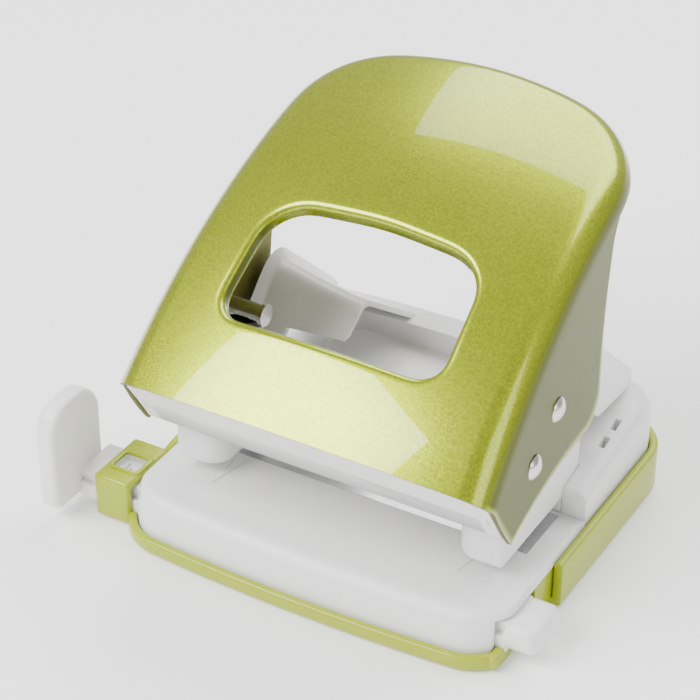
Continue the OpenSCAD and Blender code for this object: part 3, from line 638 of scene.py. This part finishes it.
def handleShell():
    points, faces = shellPatch()
    faces = [tuple(reversed(f)) for f in faces]
    made = piece("handleShell", points, faces, [limeLacquer, limeInside, cutEdge],
                 outward=False, sharp=0)
    m = made.modifiers.new("sheet", "SOLIDIFY")
    m.thickness = handle["sheet"] * mm
    m.offset = -1
    m.use_even_offset = False
    m.material_offset = 1
    m.material_offset_rim = 2
    settle(made, 40)
    # painted shade mask: rises from 0 to 1 as the normal turns to point along x, so the side panels get the
    # painted shade
    shade = made.data.attributes.new("paintedSideShade", "FLOAT", "POINT")
    for vertex in made.data.vertices:
        t = min(1, max(0, (abs(vertex.normal.x) - handle["paintedShadeFrom"]) / handle["paintedShadeOver"]))
        shade.data[vertex.index].value = t * t * (3 - 2 * t)
    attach(made, "handle")
    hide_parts("handle_shell")


handleShell()
print("handle shell done")

# base: plan loops shared by the tray and the covers

base = {"halfWidth": 59.0, "rearY": 64.5, "corner": 15.0, "frontCentreY": -27.8,
        "bowRadius": 581.67, "bowCentreY": 537.17, "bowAngle": 85.5, "stopY": 12.0}


def frontHalf(inset):
    # right half of the front: bow from the middle, then the corner up to the straight side
    r = base["corner"] - inset
    side = base["halfWidth"] - base["corner"]
    edgeX = side + r * math.cos(math.radians(base["bowAngle"]))
    radius = base["bowRadius"] - inset
    path = []
    for i in range(12):
        x = edgeX * i / 12
        path.append((x, base["bowCentreY"] - math.sqrt(radius * radius - x * x)))
    for i in range(15):
        a = math.radians(-base["bowAngle"] * (1 - i / 14))
        path.append((side + r * math.cos(a), base["frontCentreY"] + r * math.sin(a)))
    return path


def bothSides(path):
    # path from the front middle to the rear middle, closed by its mirror image
    return list(path) + [(-x, y) for x, y in reversed(path) if x > 1e-6]


def basePlan(inset):
    path = frontHalf(inset)
    w, r = base["halfWidth"] - inset, base["corner"] - inset
    side = base["halfWidth"] - base["corner"]
    rearCorner = base["rearY"] - base["corner"]
    y0 = path[-1][1]
    path += [(w, y0 + (rearCorner - y0) * i / 28) for i in range(1, 28)]
    path += [(side + r * math.cos(math.radians(7.5 * i)), rearCorner + r * math.sin(math.radians(7.5 * i)))
             for i in range(13)]
    path += [(side * (1 - i / 8), base["rearY"] - inset) for i in range(1, 9)]
    return bothSides(path)


def loopNormals(loop):
    out = []
    n = len(loop)
    for i in range(n):
        d = (Vector(loop[(i + 1) % n]) - Vector(loop[i - 1])).normalized()
        out.append(Vector((d.y, -d.x)))
    return out


# green chip tray

tray = {"footZ": 0.8, "rimZ": 5.0, "bandZ": 14.4, "riseFrom": -36.5, "riseTo": -8.5, "wall": 2.4,
        "bead": 0.9, "floorZ": 2.8, "recessX": 56.2, "recessY": (-36.0, -7.0), "doorX": 44.9,
        "doorY": (5.6, 51.7)}
guide = {"barY": (-33.7, -17.3), "barZ": (3.8, 12.0), "leftX": -74.0, "knobX": 65.0, "flagX": -80.0,
         "room": 0.3, "step": 1.5, "ledgeZ": 8.6, "railEnd": 56.5, "knobStart": 53.8, "knobRound": 3.6}
flag = {"ahead": 10.5, "length": 22.0, "z": (4, 36), "rounds": (3, 3, 9.5, 8.5), "soft": 1.5}
housing = {"x": (-68.0, -56.6), "y": (-35.5, -15.5), "round": 1.3, "window": (-61.8, -26.3),
           "windowSize": (7.4, 6.8), "rim": 1.1, "rimHeight": 0.45}


def wallTop(y):
    t = min(1, max(0, (y - tray["riseFrom"]) / (tray["riseTo"] - tray["riseFrom"])))
    return tray["rimZ"] + (tray["bandZ"] - tray["rimZ"]) * (1 - math.cos(math.pi * t)) / 2


def barRoom(x0, x1):
    r = guide["room"]
    return block("barRoom", (x0, guide["barY"][0] - r, guide["barZ"][0] - r),
                 (x1, guide["barY"][1] + r, guide["barZ"][1] + r + 0.2), limePlastic)


def windowPrism(name, grow, radius, steps, low, high):
    (wx, wy), (sx, sy) = housing["window"], housing["windowSize"]
    x, y = sx / 2 + grow, sy / 2 + grow
    corners = [(wx - x, wy - y), (wx + x, wy - y), (wx + x, wy + y), (wx - x, wy + y)]
    return prism(name, rounded(corners, radius, steps), 2, low, high, limePlastic)


def chipTray():
    z0, b, w = tray["footZ"], tray["bead"], tray["wall"]
    rings = []
    for inset, height in ((0.7, z0), (0.2, z0 + 0.2), (0, z0 + 0.7)):
        rings.append([(x, y, height) for x, y in basePlan(inset)])
    for k in range(9):
        a = math.pi * k / 8
        inset = (w / 2) * (1 - math.cos(a))
        rings.append([(x, y, wallTop(q[1]) - b + b * math.sin(a))
                      for (x, y), q in zip(basePlan(inset), basePlan(0))])
    rings.append([(x, y, tray["floorZ"]) for x, y in basePlan(w)])
    points, faces = loft(rings)
    pan = piece("pan", points, faces, [limePlastic])
    y0, y1 = tray["recessY"]
    cut(pan, block("notch", (tray["recessX"], y0, 0), (70, y1, 30), limePlastic))
    cut(pan, block("doorway", (-tray["doorX"], tray["doorY"][0], 0), (tray["doorX"], tray["doorY"][1], 3.2),
                   limePlastic))
    bevel(pan, 0.35, 2, 40)
    settle(pan)
    steps = 16
    ys = [y0 - w + (y1 - y0 + 2 * w) * i / steps for i in range(steps + 1)]
    outline = [(y1 + w, z0 + 0.1), (y0 - w, z0 + 0.1)] + [(y, wallTop(y) - 0.1) for y in ys]
    inner = prism("inner", list(reversed(outline)), 0, tray["recessX"] - w, tray["recessX"] - 0.05,
                  limePlastic)
    bevel(inner, 0.6, 3, 50)
    settle(inner)
    cut(inner, barRoom(50, 60))
    (x0, x1), (front, back) = housing["x"], housing["y"]
    box = block("box", (x0, front, z0), (x1, back, tray["bandZ"]), limePlastic, housing["round"], 5)
    settle(box)
    cut(box, barRoom(-75, -50))
    cut(box, windowPrism("hole", 0, 0.8, 4, 11, 16))
    frameEdge = windowPrism("frameEdge", housing["rim"], 1.6, 5, tray["bandZ"] - 0.3,
                            tray["bandZ"] + housing["rimHeight"])
    cut(frameEdge, windowPrism("hole", 0, 0.8, 4, 11, 17))
    bevel(frameEdge, 0.25, 2, 40)
    settle(frameEdge)
    made = join([pan, inner, box, frameEdge], "chipTray")
    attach(made, "base")
    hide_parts("chip_tray")


chipTray()
print("tray done")

# white table and back cover

cover = {"inset": 2.7, "lowZ": 3.2, "frontZ": 4.0, "tableZ": 15.0, "sideRound": 1.6, "frontRamp": 6.8,
         "rampBlend": 3.0, "rampPower": 1.5, "deckFront": 22.5, "deckRear": 29.0, "deckBend": 46.5,
         "deckRound": 4.0, "stopRound": 1.6, "crown": 2.2, "crownWidth": 54.0, "pocketX": 36.0,
         "pocketY": (24.0, 50.5), "pocketZ": 24.2, "pocketRound": 4.0, "seam": 0.1, "wallZ": 18.0,
         "slotX": (50.6, 52.4), "slotY": (30.0, 37.0), "slotLength": 4.2, "wellX": (34.9, 49.2),
         "wellY": (11.0, 22.1), "through": 40.0}
plateSeat = {"x": 49.15, "y": (-8.15, 10.65), "z": 12.8}
tableMark = {"outline": ((37.2, -23.5), (39.4, -10.5), (38.4, -10.5), (37.2, -17.5), (36.0, -10.5),
                         (35.0, -10.5)), "z": (14.8, 15.35), "soft": 0.15}


def tableTop():
    path = frontHalf(cover["inset"])
    w = base["halfWidth"] - cover["inset"]
    last = base["stopY"] - cover["seam"]
    y0 = path[-1][1]
    path += [(w, y0 + (last - y0) * i / 14) for i in range(1, 15)]
    path += [(w * (1 - i / 10), last) for i in range(1, 11)]
    loop = bothSides(path)
    normals = loopNormals(loop)
    side, front = cover["sideRound"], cover["frontRamp"]
    rings = [[(x, y, cover["lowZ"]) for x, y in loop]]
    for k in range(11):
        t = math.radians(9 * k)
        ring = []
        for (x, y), n in zip(loop, normals):
            ramp = side + (front - side) * max(0, -n.y) ** cover["rampPower"]
            if y > last - 0.01:
                ramp = 0
            share = min(1, max(0, (ramp - side) / cover["rampBlend"]))
            tall = side + (cover["tableZ"] - cover["frontZ"] - side) * share
            deep = ramp * (1 - math.cos(t))
            ring.append((x - n.x * deep, min(last, y - n.y * deep),
                         cover["tableZ"] - tall + tall * math.sin(t)))
        rings.append(ring)
    points, faces = loft(rings)
    made = piece("tableTop", points, faces, [whitePlastic], sharp=50)
    cut(made, block("plateSeat", (-plateSeat["x"], plateSeat["y"][0], plateSeat["z"]),
                    (plateSeat["x"], plateSeat["y"][1], 16), whitePlastic))
    cut(made, barRoom(-75, 70))
    cut(made, block("recess", (53.5, -38.7, 0), (70, -4.3, 12.9), whitePlastic))
    bevel(made, 0.3, 2, 50)
    settle(made, 50)
    marks = []
    for sx in (-1, 1):
        mark = prism("mark", [(sx * x, y) for x, y in tableMark["outline"]], 2, *tableMark["z"], whitePlastic)
        bevel(mark, tableMark["soft"], 2)
        marks.append(mark)
    made = join([made] + marks, "tableTop")
    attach(made, "base")
    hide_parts("table_cover")


def deckHeight(x, y):
    slope = min(1, max(0, (y - base["stopY"]) / (cover["deckBend"] - base["stopY"])))
    rise = cover["deckFront"] + (cover["deckRear"] - cover["deckFront"]) * slope
    return rise + cover["crown"] * slope * max(0, 1 - (x / cover["crownWidth"]) ** 2)


def rearBody():
    w, r = base["halfWidth"] - cover["inset"], base["corner"] - cover["inset"]
    side = base["halfWidth"] - base["corner"]
    rear, first = base["rearY"] - cover["inset"], base["stopY"]
    path = [(w * i / 14, first) for i in range(14)]
    small, cornerY = 0.8, base["rearY"] - base["corner"]
    path += [(w - small + small * math.sin(math.radians(18 * i)),
              first + small - small * math.cos(math.radians(18 * i))) for i in range(1, 6)]
    path += [(w, first + small + (cornerY - first - small) * i / 14) for i in range(1, 14)]
    path += [(side + r * math.cos(math.radians(7.5 * i)), cornerY + r * math.sin(math.radians(7.5 * i)))
             for i in range(13)]
    path += [(side * (1 - i / 12), rear) for i in range(1, 13)]
    loop = bothSides(path)
    rings = [[(x, y, cover["lowZ"]) for x, y in loop]]
    rings.append([(x, y, min(deckHeight(x, y) - cover["deckRound"], cover["wallZ"])) for x, y in loop])
    for k in range(9):
        t = math.radians(11.25 * k)
        ring = []
        for x, y in loop:
            share = min(1, (y - first) / 8)
            drop = cover["stopRound"] + (cover["deckRound"] - cover["stopRound"]) * share
            e = 1 - math.cos(t)
            px = x * (1 - cover["deckRound"] * e / w)
            py = first + cover["stopRound"] * e + (y - first) * (
                1 - (cover["deckRound"] + cover["stopRound"]) * e / (rear - first))
            ring.append((px, py, deckHeight(px, py) - drop + drop * math.sin(t)))
        rings.append(ring)
    middle = Vector((0, (first + rear) / 2))
    for k in (0.9, 0.78, 0.62, 0.45, 0.28, 0.12):
        ring = []
        for x, y, _ in rings[10]:
            p = middle + (Vector((x, y)) - middle) * k
            ring.append((p.x, p.y, deckHeight(p.x, p.y)))
        rings.append(ring)
    points, faces = loft(rings)
    made = piece("rearBody", points, faces, [whitePlastic], sharp=50)
    (y0, y1), x = cover["pocketY"], cover["pocketX"]
    outline = rounded([(-x, y0), (x, y0), (x, y1), (-x, y1)], cover["pocketRound"], 6)
    cut(made, prism("pocket", outline, 2, cover["pocketZ"], cover["through"], whitePlastic))
    for sx in (-1, 1):
        low, high = sorted(sx * v for v in cover["slotX"])
        for y in cover["slotY"]:
            cut(made, block("slot", (low, y, 20), (high, y + cover["slotLength"], cover["through"]),
                            whitePlastic))
        low, high = sorted(sx * v for v in cover["wellX"])
        cut(made, block("well", (low, cover["wellY"][0], 15), (high, cover["wellY"][1], cover["through"]),
                        whitePlastic))
    bevel(made, 0.5, 3, 45)
    settle(made, 50)
    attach(made, "base")
    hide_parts("rear_cover")


tableTop()
rearBody()
print("covers done")

# cowls behind the punches

cowl = {"innerX": 19.0, "outerX": 47.5, "lowCrest": 49.4, "highCrest": 55.4, "power": 1.5, "sheet": 1.6,
        "endRound": 3.0, "archX": 36.0, "archY": 26.0, "archZ": 44.5, "footZ": 29.3, "middle": (28, 34),
        "front": ((8, 33.1), (8, 38)), "top": ((22, -2.6), (25.5, 0), (28, -0.4)), "rear": (55.3, 29.3),
        "samples": 61}


def cowlPath(crest):
    corners = [*cowl["front"], *((y, crest + z) for y, z in cowl["top"]), cowl["rear"]]
    return resample(smoothed(resample(corners, 2 * cowl["samples"] - 1), 8), cowl["samples"])


def makeCowl():
    rows = []
    steps = 24
    for i in range(steps + 1):
        x = cowl["innerX"] + (cowl["outerX"] - cowl["endRound"] - cowl["innerX"]) * i / steps
        t = (x - cowl["innerX"]) / (cowl["outerX"] - cowl["innerX"])
        crest = cowl["lowCrest"] + (cowl["highCrest"] - cowl["lowCrest"]) * t ** cowl["power"]
        rows.append([(x, p.x, p.y) for p in cowlPath(crest)])
    r, foot, frontY = cowl["endRound"], cowl["footZ"], cowl["front"][0][0]
    last = [Vector((y, z)) for _, y, z in rows[-1]]
    middle = Vector(cowl["middle"])
    normals = []
    for j, p in enumerate(last):
        d = (last[min(len(last) - 1, j + 1)] - last[max(0, j - 1)]).normalized()
        normals.append(Vector((d.y, -d.x)))
    for k in range(1, 7):
        a = math.radians(15 * k)
        roundedIn = [p - n * r * (1 - math.cos(a)) for p, n in zip(last, normals)]
        rows.append([(cowl["outerX"] - r + r * math.sin(a), q.x, max(foot, q.y)) for q in roundedIn])
    for k in (0.75, 0.45, 0.15):
        shrunk = [middle + (Vector(p[1:]) - middle) * k for p in rows[steps + 6]]
        rows.append([(cowl["outerX"], max(q.x, frontY), max(foot, q.y)) for q in shrunk])
    points, faces = loft(rows, closed=False, capStart=False, capEnd=False)
    made = piece("cowlRight", points, faces, [whitePlastic], outward=False)
    m = made.modifiers.new("sheet", "SOLIDIFY")
    m.thickness = cowl["sheet"] * mm
    m.offset = -1
    settle(made, 40)
    cut(made, block("arch", (0, 0, 30), (cowl["archX"], cowl["archY"], cowl["archZ"]), whitePlastic))
    bevel(made, 0.25, 2, 50)
    settle(made, 40)
    return made


right = makeCowl()
left = mirrored(right, "cowlLeft")
for made, name in ((right, "cowl_right"), (left, "cowl_left")):
    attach(made, "base")
    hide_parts(name)
print("cowls done")

# punch frames

frameArm = {"x": (35.0, 49.1), "y": (-22.5, 22.0), "z": (19.6, 33.0), "innerRound": 6.5, "soft": 0.9,
            "cheek": 3.0, "cheekDepth": 25.0, "pivot": (-15.3, 48.8), "bossRadius": 6.4, "stopY": 12.0,
            "tableZ": 15.1, "punch": (40, 0, 10), "bore": 2.85}


def circlePoints(u, v, r, count):
    return [(u + r * math.cos(2 * math.pi * i / count), v + r * math.sin(2 * math.pi * i / count))
            for i in range(count)]


def hullPoints(points):
    # convex outline, anticlockwise
    points = sorted(set((round(x, 4), round(y, 4)) for x, y in points))

    def chain(seq):
        out = []
        for p in seq:
            while len(out) > 1 and ((out[-1][0] - out[-2][0]) * (p[1] - out[-2][1])
                                    - (out[-1][1] - out[-2][1]) * (p[0] - out[-2][0])) <= 0:
                out.pop()
            out.append(p)
        return out[:-1]
    return chain(points) + chain(reversed(points))


def punchFrame():
    (x0, x1), (y0, y1), (z0, z1) = frameArm["x"], frameArm["y"], frameArm["z"]
    outline = rounded([(x0, y0), (x1, y0), (x1, y1), (x0, y1)], [frameArm["innerRound"], 1.2, 0, 0], 8)
    arm = prism("arm", outline, 2, z0, z1, whitePlastic)
    bevel(arm, frameArm["soft"], 4)
    settle(arm)
    cut(arm, turned("bore", [(frameArm["bore"], 0), (frameArm["bore"], 40)], frameArm["punch"], 2,
                    whitePlastic))
    column = block("column", (x0 + 0.1, frameArm["stopY"], frameArm["tableZ"]), (x1 - 0.1, y1 - 0.1, z1 - 1),
                   whitePlastic, 0.4)
    (py, pz), r = frameArm["pivot"], frameArm["bossRadius"]
    back = y0 + frameArm["cheekDepth"]
    ring = circlePoints(py, pz, r, 48)
    cheek = prism("cheek", hullPoints(ring + [(y0, z1 - 2), (back, z1 - 2), (y0, z1), (back, z1)]), 0,
                  x1 - frameArm["cheek"], x1 - 0.03, whitePlastic)
    bevel(cheek, 0.4, 3)
    return join([arm, column, cheek], "punchFrameRight")


right = punchFrame()
left = mirrored(right, "punchFrameLeft")
for made, name in ((right, "punch_frame_right"), (left, "punch_frame_left")):
    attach(made, "base")
    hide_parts(name)
print("frames done")

# white liner inside the handle

liner = {"halfLength": 48.5, "endX": 52.4, "endDrop": 3.8, "endShift": (2.4, 2.2), "ear": (49.95, 50.85),
         "pivot": (-15.3, 48.8), "drive": (-1.2, 57.4), "bore": 2.55, "driveRound": 4.5,
         "pivotRound": 5.5, "rounds": (0.5, 6, 2.6, 0.5, 0.5, 1.2, 5, 0.5)}


def handleLiner():
    y0, z0 = handle["startY"], handle["startZ"]
    corners = [(y0 + 6.2, z0 - 4.6), (y0 + 13.5, 43.4), (y0 + 18.6, 35), (y0 + 25, 35.7), (y0 + 25, 37.3),
               (y0 + 19.8, 36.8), (y0 + 15.4, 44.2), (y0 + 8.6, z0 - 4)]
    outline = rounded(corners, liner["rounds"], 6)
    strip = prism("strip", outline, 0, -liner["halfLength"], liner["halfLength"], whitePlastic)
    bevel(strip, 0.3, 2, 50)
    low = list(corners)
    for i, shift in zip((0, -1), liner["endShift"]):
        low[i] = (corners[i][0] + shift, corners[i][1] - liner["endDrop"])
    ends = prism("ends", rounded(low, liner["rounds"], 6), 0, -liner["endX"], liner["endX"], whitePlastic)
    bevel(ends, 0.3, 2, 50)
    parts = [strip, ends]
    for sx in (-1, 1):
        dots = []
        for (y, z), r in (((y0 + 14, 45), 2), ((y0 + 20, 38.5), 2), (liner["drive"], liner["driveRound"]),
                          (liner["pivot"], liner["pivotRound"])):
            dots += circlePoints(y, z, r, 24)
        low, high = sorted(sx * v for v in liner["ear"])
        ear = prism("ear", hullPoints(dots), 0, low, high, whitePlastic)
        for y, z in (liner["drive"], liner["pivot"]):
            cut(ear, turned("bore", [(liner["bore"], -60), (liner["bore"], 60)], (0, y, z), 0, whitePlastic))
        parts.append(ear)
    made = join(parts, "handleLiner")
    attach(made, "handle")
    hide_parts("handle_liner")


handleLiner()
print("liner done")

# paper guide: bar, knob, flag and format strip


def guideBar():
    (y0, y1), (z0, z1), s = guide["barY"], guide["barZ"], guide["step"]
    ledge = guide["ledgeZ"]
    corners = [(y0, z0), (y1, z0), (y1, ledge), (y1 - s, ledge), (y1 - s, z1), (y0 + s, z1), (y0 + s, ledge),
               (y0, ledge)]
    outline = rounded(corners, [0.5, 0.5, 0.5, 0.3, 0.6, 0.6, 0.3, 0.5], 4)
    rail = prism("rail", outline, 0, guide["leftX"], guide["railEnd"], guidePlastic)
    knob = block("knob", (guide["knobStart"], y0, z0), (guide["knobX"], y1, z1), guidePlastic,
                 guide["knobRound"], 8)
    hook = prism("hook", [(-74, 3.9), (-74, 2.4), (-71.5, 2.4), (-70.2, 3.9)], 1, y0 + 2, y1 - 2,
                 guidePlastic)
    bevel(hook, 0.2, 2)
    made = join([rail, knob, hook], "guideBar")
    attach(made, "guide")
    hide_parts("guide_bar")


def guideFlag():
    y0, (z0, z1) = guide["barY"][0] - flag["ahead"], flag["z"]
    y1 = y0 + flag["length"]
    outline = rounded([(y0, z0), (y1, z0), (y1, z1), (y0, z1)], flag["rounds"], 12)
    made = prism("guideFlag", outline, 0, guide["flagX"], guide["leftX"], guidePlastic)
    bevel(made, flag["soft"], 5)
    settle(made, 40)
    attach(made, "guide")
    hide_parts("guide_flag")


formatMarks = {"strip": (-70.0, 42.2), "halfWidth": 3.4, "z": (12.0, 12.2), "ink": (12.15, 12.26),
               "count": 7, "spacing": 15.0,
               # each mark: from and to across, from and to along, growth from one format to the next
               "marks": ((-1.9, -1.2, -1.2, 2.0, 0), (-0.5, 0.2, -1.2, 0.4, 0.25), (0.9, 1.7, -1.2, -0.4, 0),
                         (-2.2, 2.2, -2.3, -2.1, 0))}


def repeatTree():
    # one box repeated along X, each a little longer than the last
    tree = bpy.data.node_groups.new("repeatedMark", "GeometryNodeTree")
    for label, kind in (("Count", "Int"), ("Spacing", "Float"), ("Place", "Vector"), ("Size", "Vector"),
                        ("Growth", "Float"), ("Ink", "Material")):
        tree.interface.new_socket(name=label, in_out="INPUT", socket_type="NodeSocket" + kind)
    tree.interface.new_socket(name="Geometry", in_out="OUTPUT", socket_type="NodeSocketGeometry")
    new, link = tree.nodes.new, tree.links.new
    given, result = new("NodeGroupInput"), new("NodeGroupOutput")
    line, cube, index = (new("GeometryNode" + kind) for kind in ("MeshLine", "MeshCube", "InputIndex"))
    step, added, half, split, share, stretch, shift = (
        new(kind) for kind in ("ShaderNodeCombineXYZ", "ShaderNodeMath", "ShaderNodeMath",
                               "ShaderNodeSeparateXYZ", "ShaderNodeMath", "ShaderNodeCombineXYZ",
                               "ShaderNodeCombineXYZ"))
    added.operation, half.operation, share.operation = "MULTIPLY", "MULTIPLY", "DIVIDE"
    half.inputs[1].default_value = 0.5
    link(given.outputs["Spacing"], step.inputs["X"])
    link(given.outputs["Count"], line.inputs["Count"])
    link(given.outputs["Place"], line.inputs["Start Location"])
    link(step.outputs[0], line.inputs["Offset"])
    link(index.outputs[0], added.inputs[0])
    link(given.outputs["Growth"], added.inputs[1])
    link(added.outputs[0], half.inputs[0])
    link(half.outputs[0], shift.inputs["Y"])
    move, place, realise, paint = (new(kind) for kind in (
        "GeometryNodeSetPosition", "GeometryNodeInstanceOnPoints", "GeometryNodeRealizeInstances",
        "GeometryNodeSetMaterial"))
    link(line.outputs["Mesh"], move.inputs["Geometry"])
    link(shift.outputs[0], move.inputs["Offset"])
    link(given.outputs["Size"], cube.inputs["Size"])
    link(given.outputs["Size"], split.inputs[0])
    link(added.outputs[0], share.inputs[0])
    link(split.outputs["Y"], share.inputs[1])
    longer = new("ShaderNodeMath")
    longer.inputs[1].default_value = 1
    link(share.outputs[0], longer.inputs[0])
    stretch.inputs["X"].default_value = stretch.inputs["Z"].default_value = 1
    link(longer.outputs[0], stretch.inputs["Y"])
    link(move.outputs[0], place.inputs["Points"])
    link(cube.outputs["Mesh"], place.inputs["Instance"])
    link(stretch.outputs[0], place.inputs["Scale"])
    link(place.outputs[0], realise.inputs[0])
    link(realise.outputs[0], paint.inputs["Geometry"])
    link(given.outputs["Ink"], paint.inputs["Material"])
    link(paint.outputs[0], result.inputs[0])
    return tree


def repeatedMarks(tree, values):
    made = bpy.data.objects.new("marks", bpy.data.meshes.new("marks"))
    bpy.context.scene.collection.objects.link(made)
    m = made.modifiers.new("repeat", "NODES")
    m.node_group = tree
    sockets = {item.name: item.identifier for item in tree.interface.items_tree if item.in_out == "INPUT"}
    for label, value in values.items():
        m[sockets[label]] = value
    return settle(made)


def formatStrip():
    wx, wy = housing["window"]
    (x0, x1), w, (z0, z1) = formatMarks["strip"], formatMarks["halfWidth"], formatMarks["z"]
    parts = [block("strip", (x0, wy - w, z0), (x1, wy + w, z1), labelPaper)]
    tree = repeatTree()
    low, high = formatMarks["ink"]
    for left, right, near, far, growth in formatMarks["marks"]:
        centre = (wx + (left + right) / 2, wy + (near + far) / 2, (low + high) / 2)
        parts.append(repeatedMarks(tree, {
            "Count": formatMarks["count"], "Spacing": formatMarks["spacing"] * mm,
            "Place": [v * mm for v in centre],
            "Size": [(right - left) * mm, (far - near) * mm, (high - low) * mm],
            "Growth": growth * mm, "Ink": printInk}))
    made = join(parts, "formatStrip")
    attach(made, "guide")
    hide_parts("format_label")


guideBar()
guideFlag()
formatStrip()
print("guide done")


painted = {
    "die_plate": plateSteel, "chip_door": limePlastic, "door_hinge_pins": pinSteel,
    "pivot_pin_left": pinSteel, "pivot_pin_right": pinSteel, "pivot_washers": washerPlastic,
    "frame_screws": zincSteel, "base_screws": zincSteel, "rubber_feet": footRubber,
    "detent_spring": springSteel, "format_window": clearWindow, "drive_pin_left": pinSteel,
    "drive_pin_right": pinSteel, "punch_left": toolSteel, "punch_right": toolSteel,
    "punch_cap_left": blackSteel, "punch_cap_right": blackSteel, "return_spring_left": springSteel,
    "return_spring_right": springSteel}
for name, paint in painted.items():
    mesh = nodes[name].data
    mesh.materials.clear()
    mesh.materials.append(paint)
print("carried nodes painted")
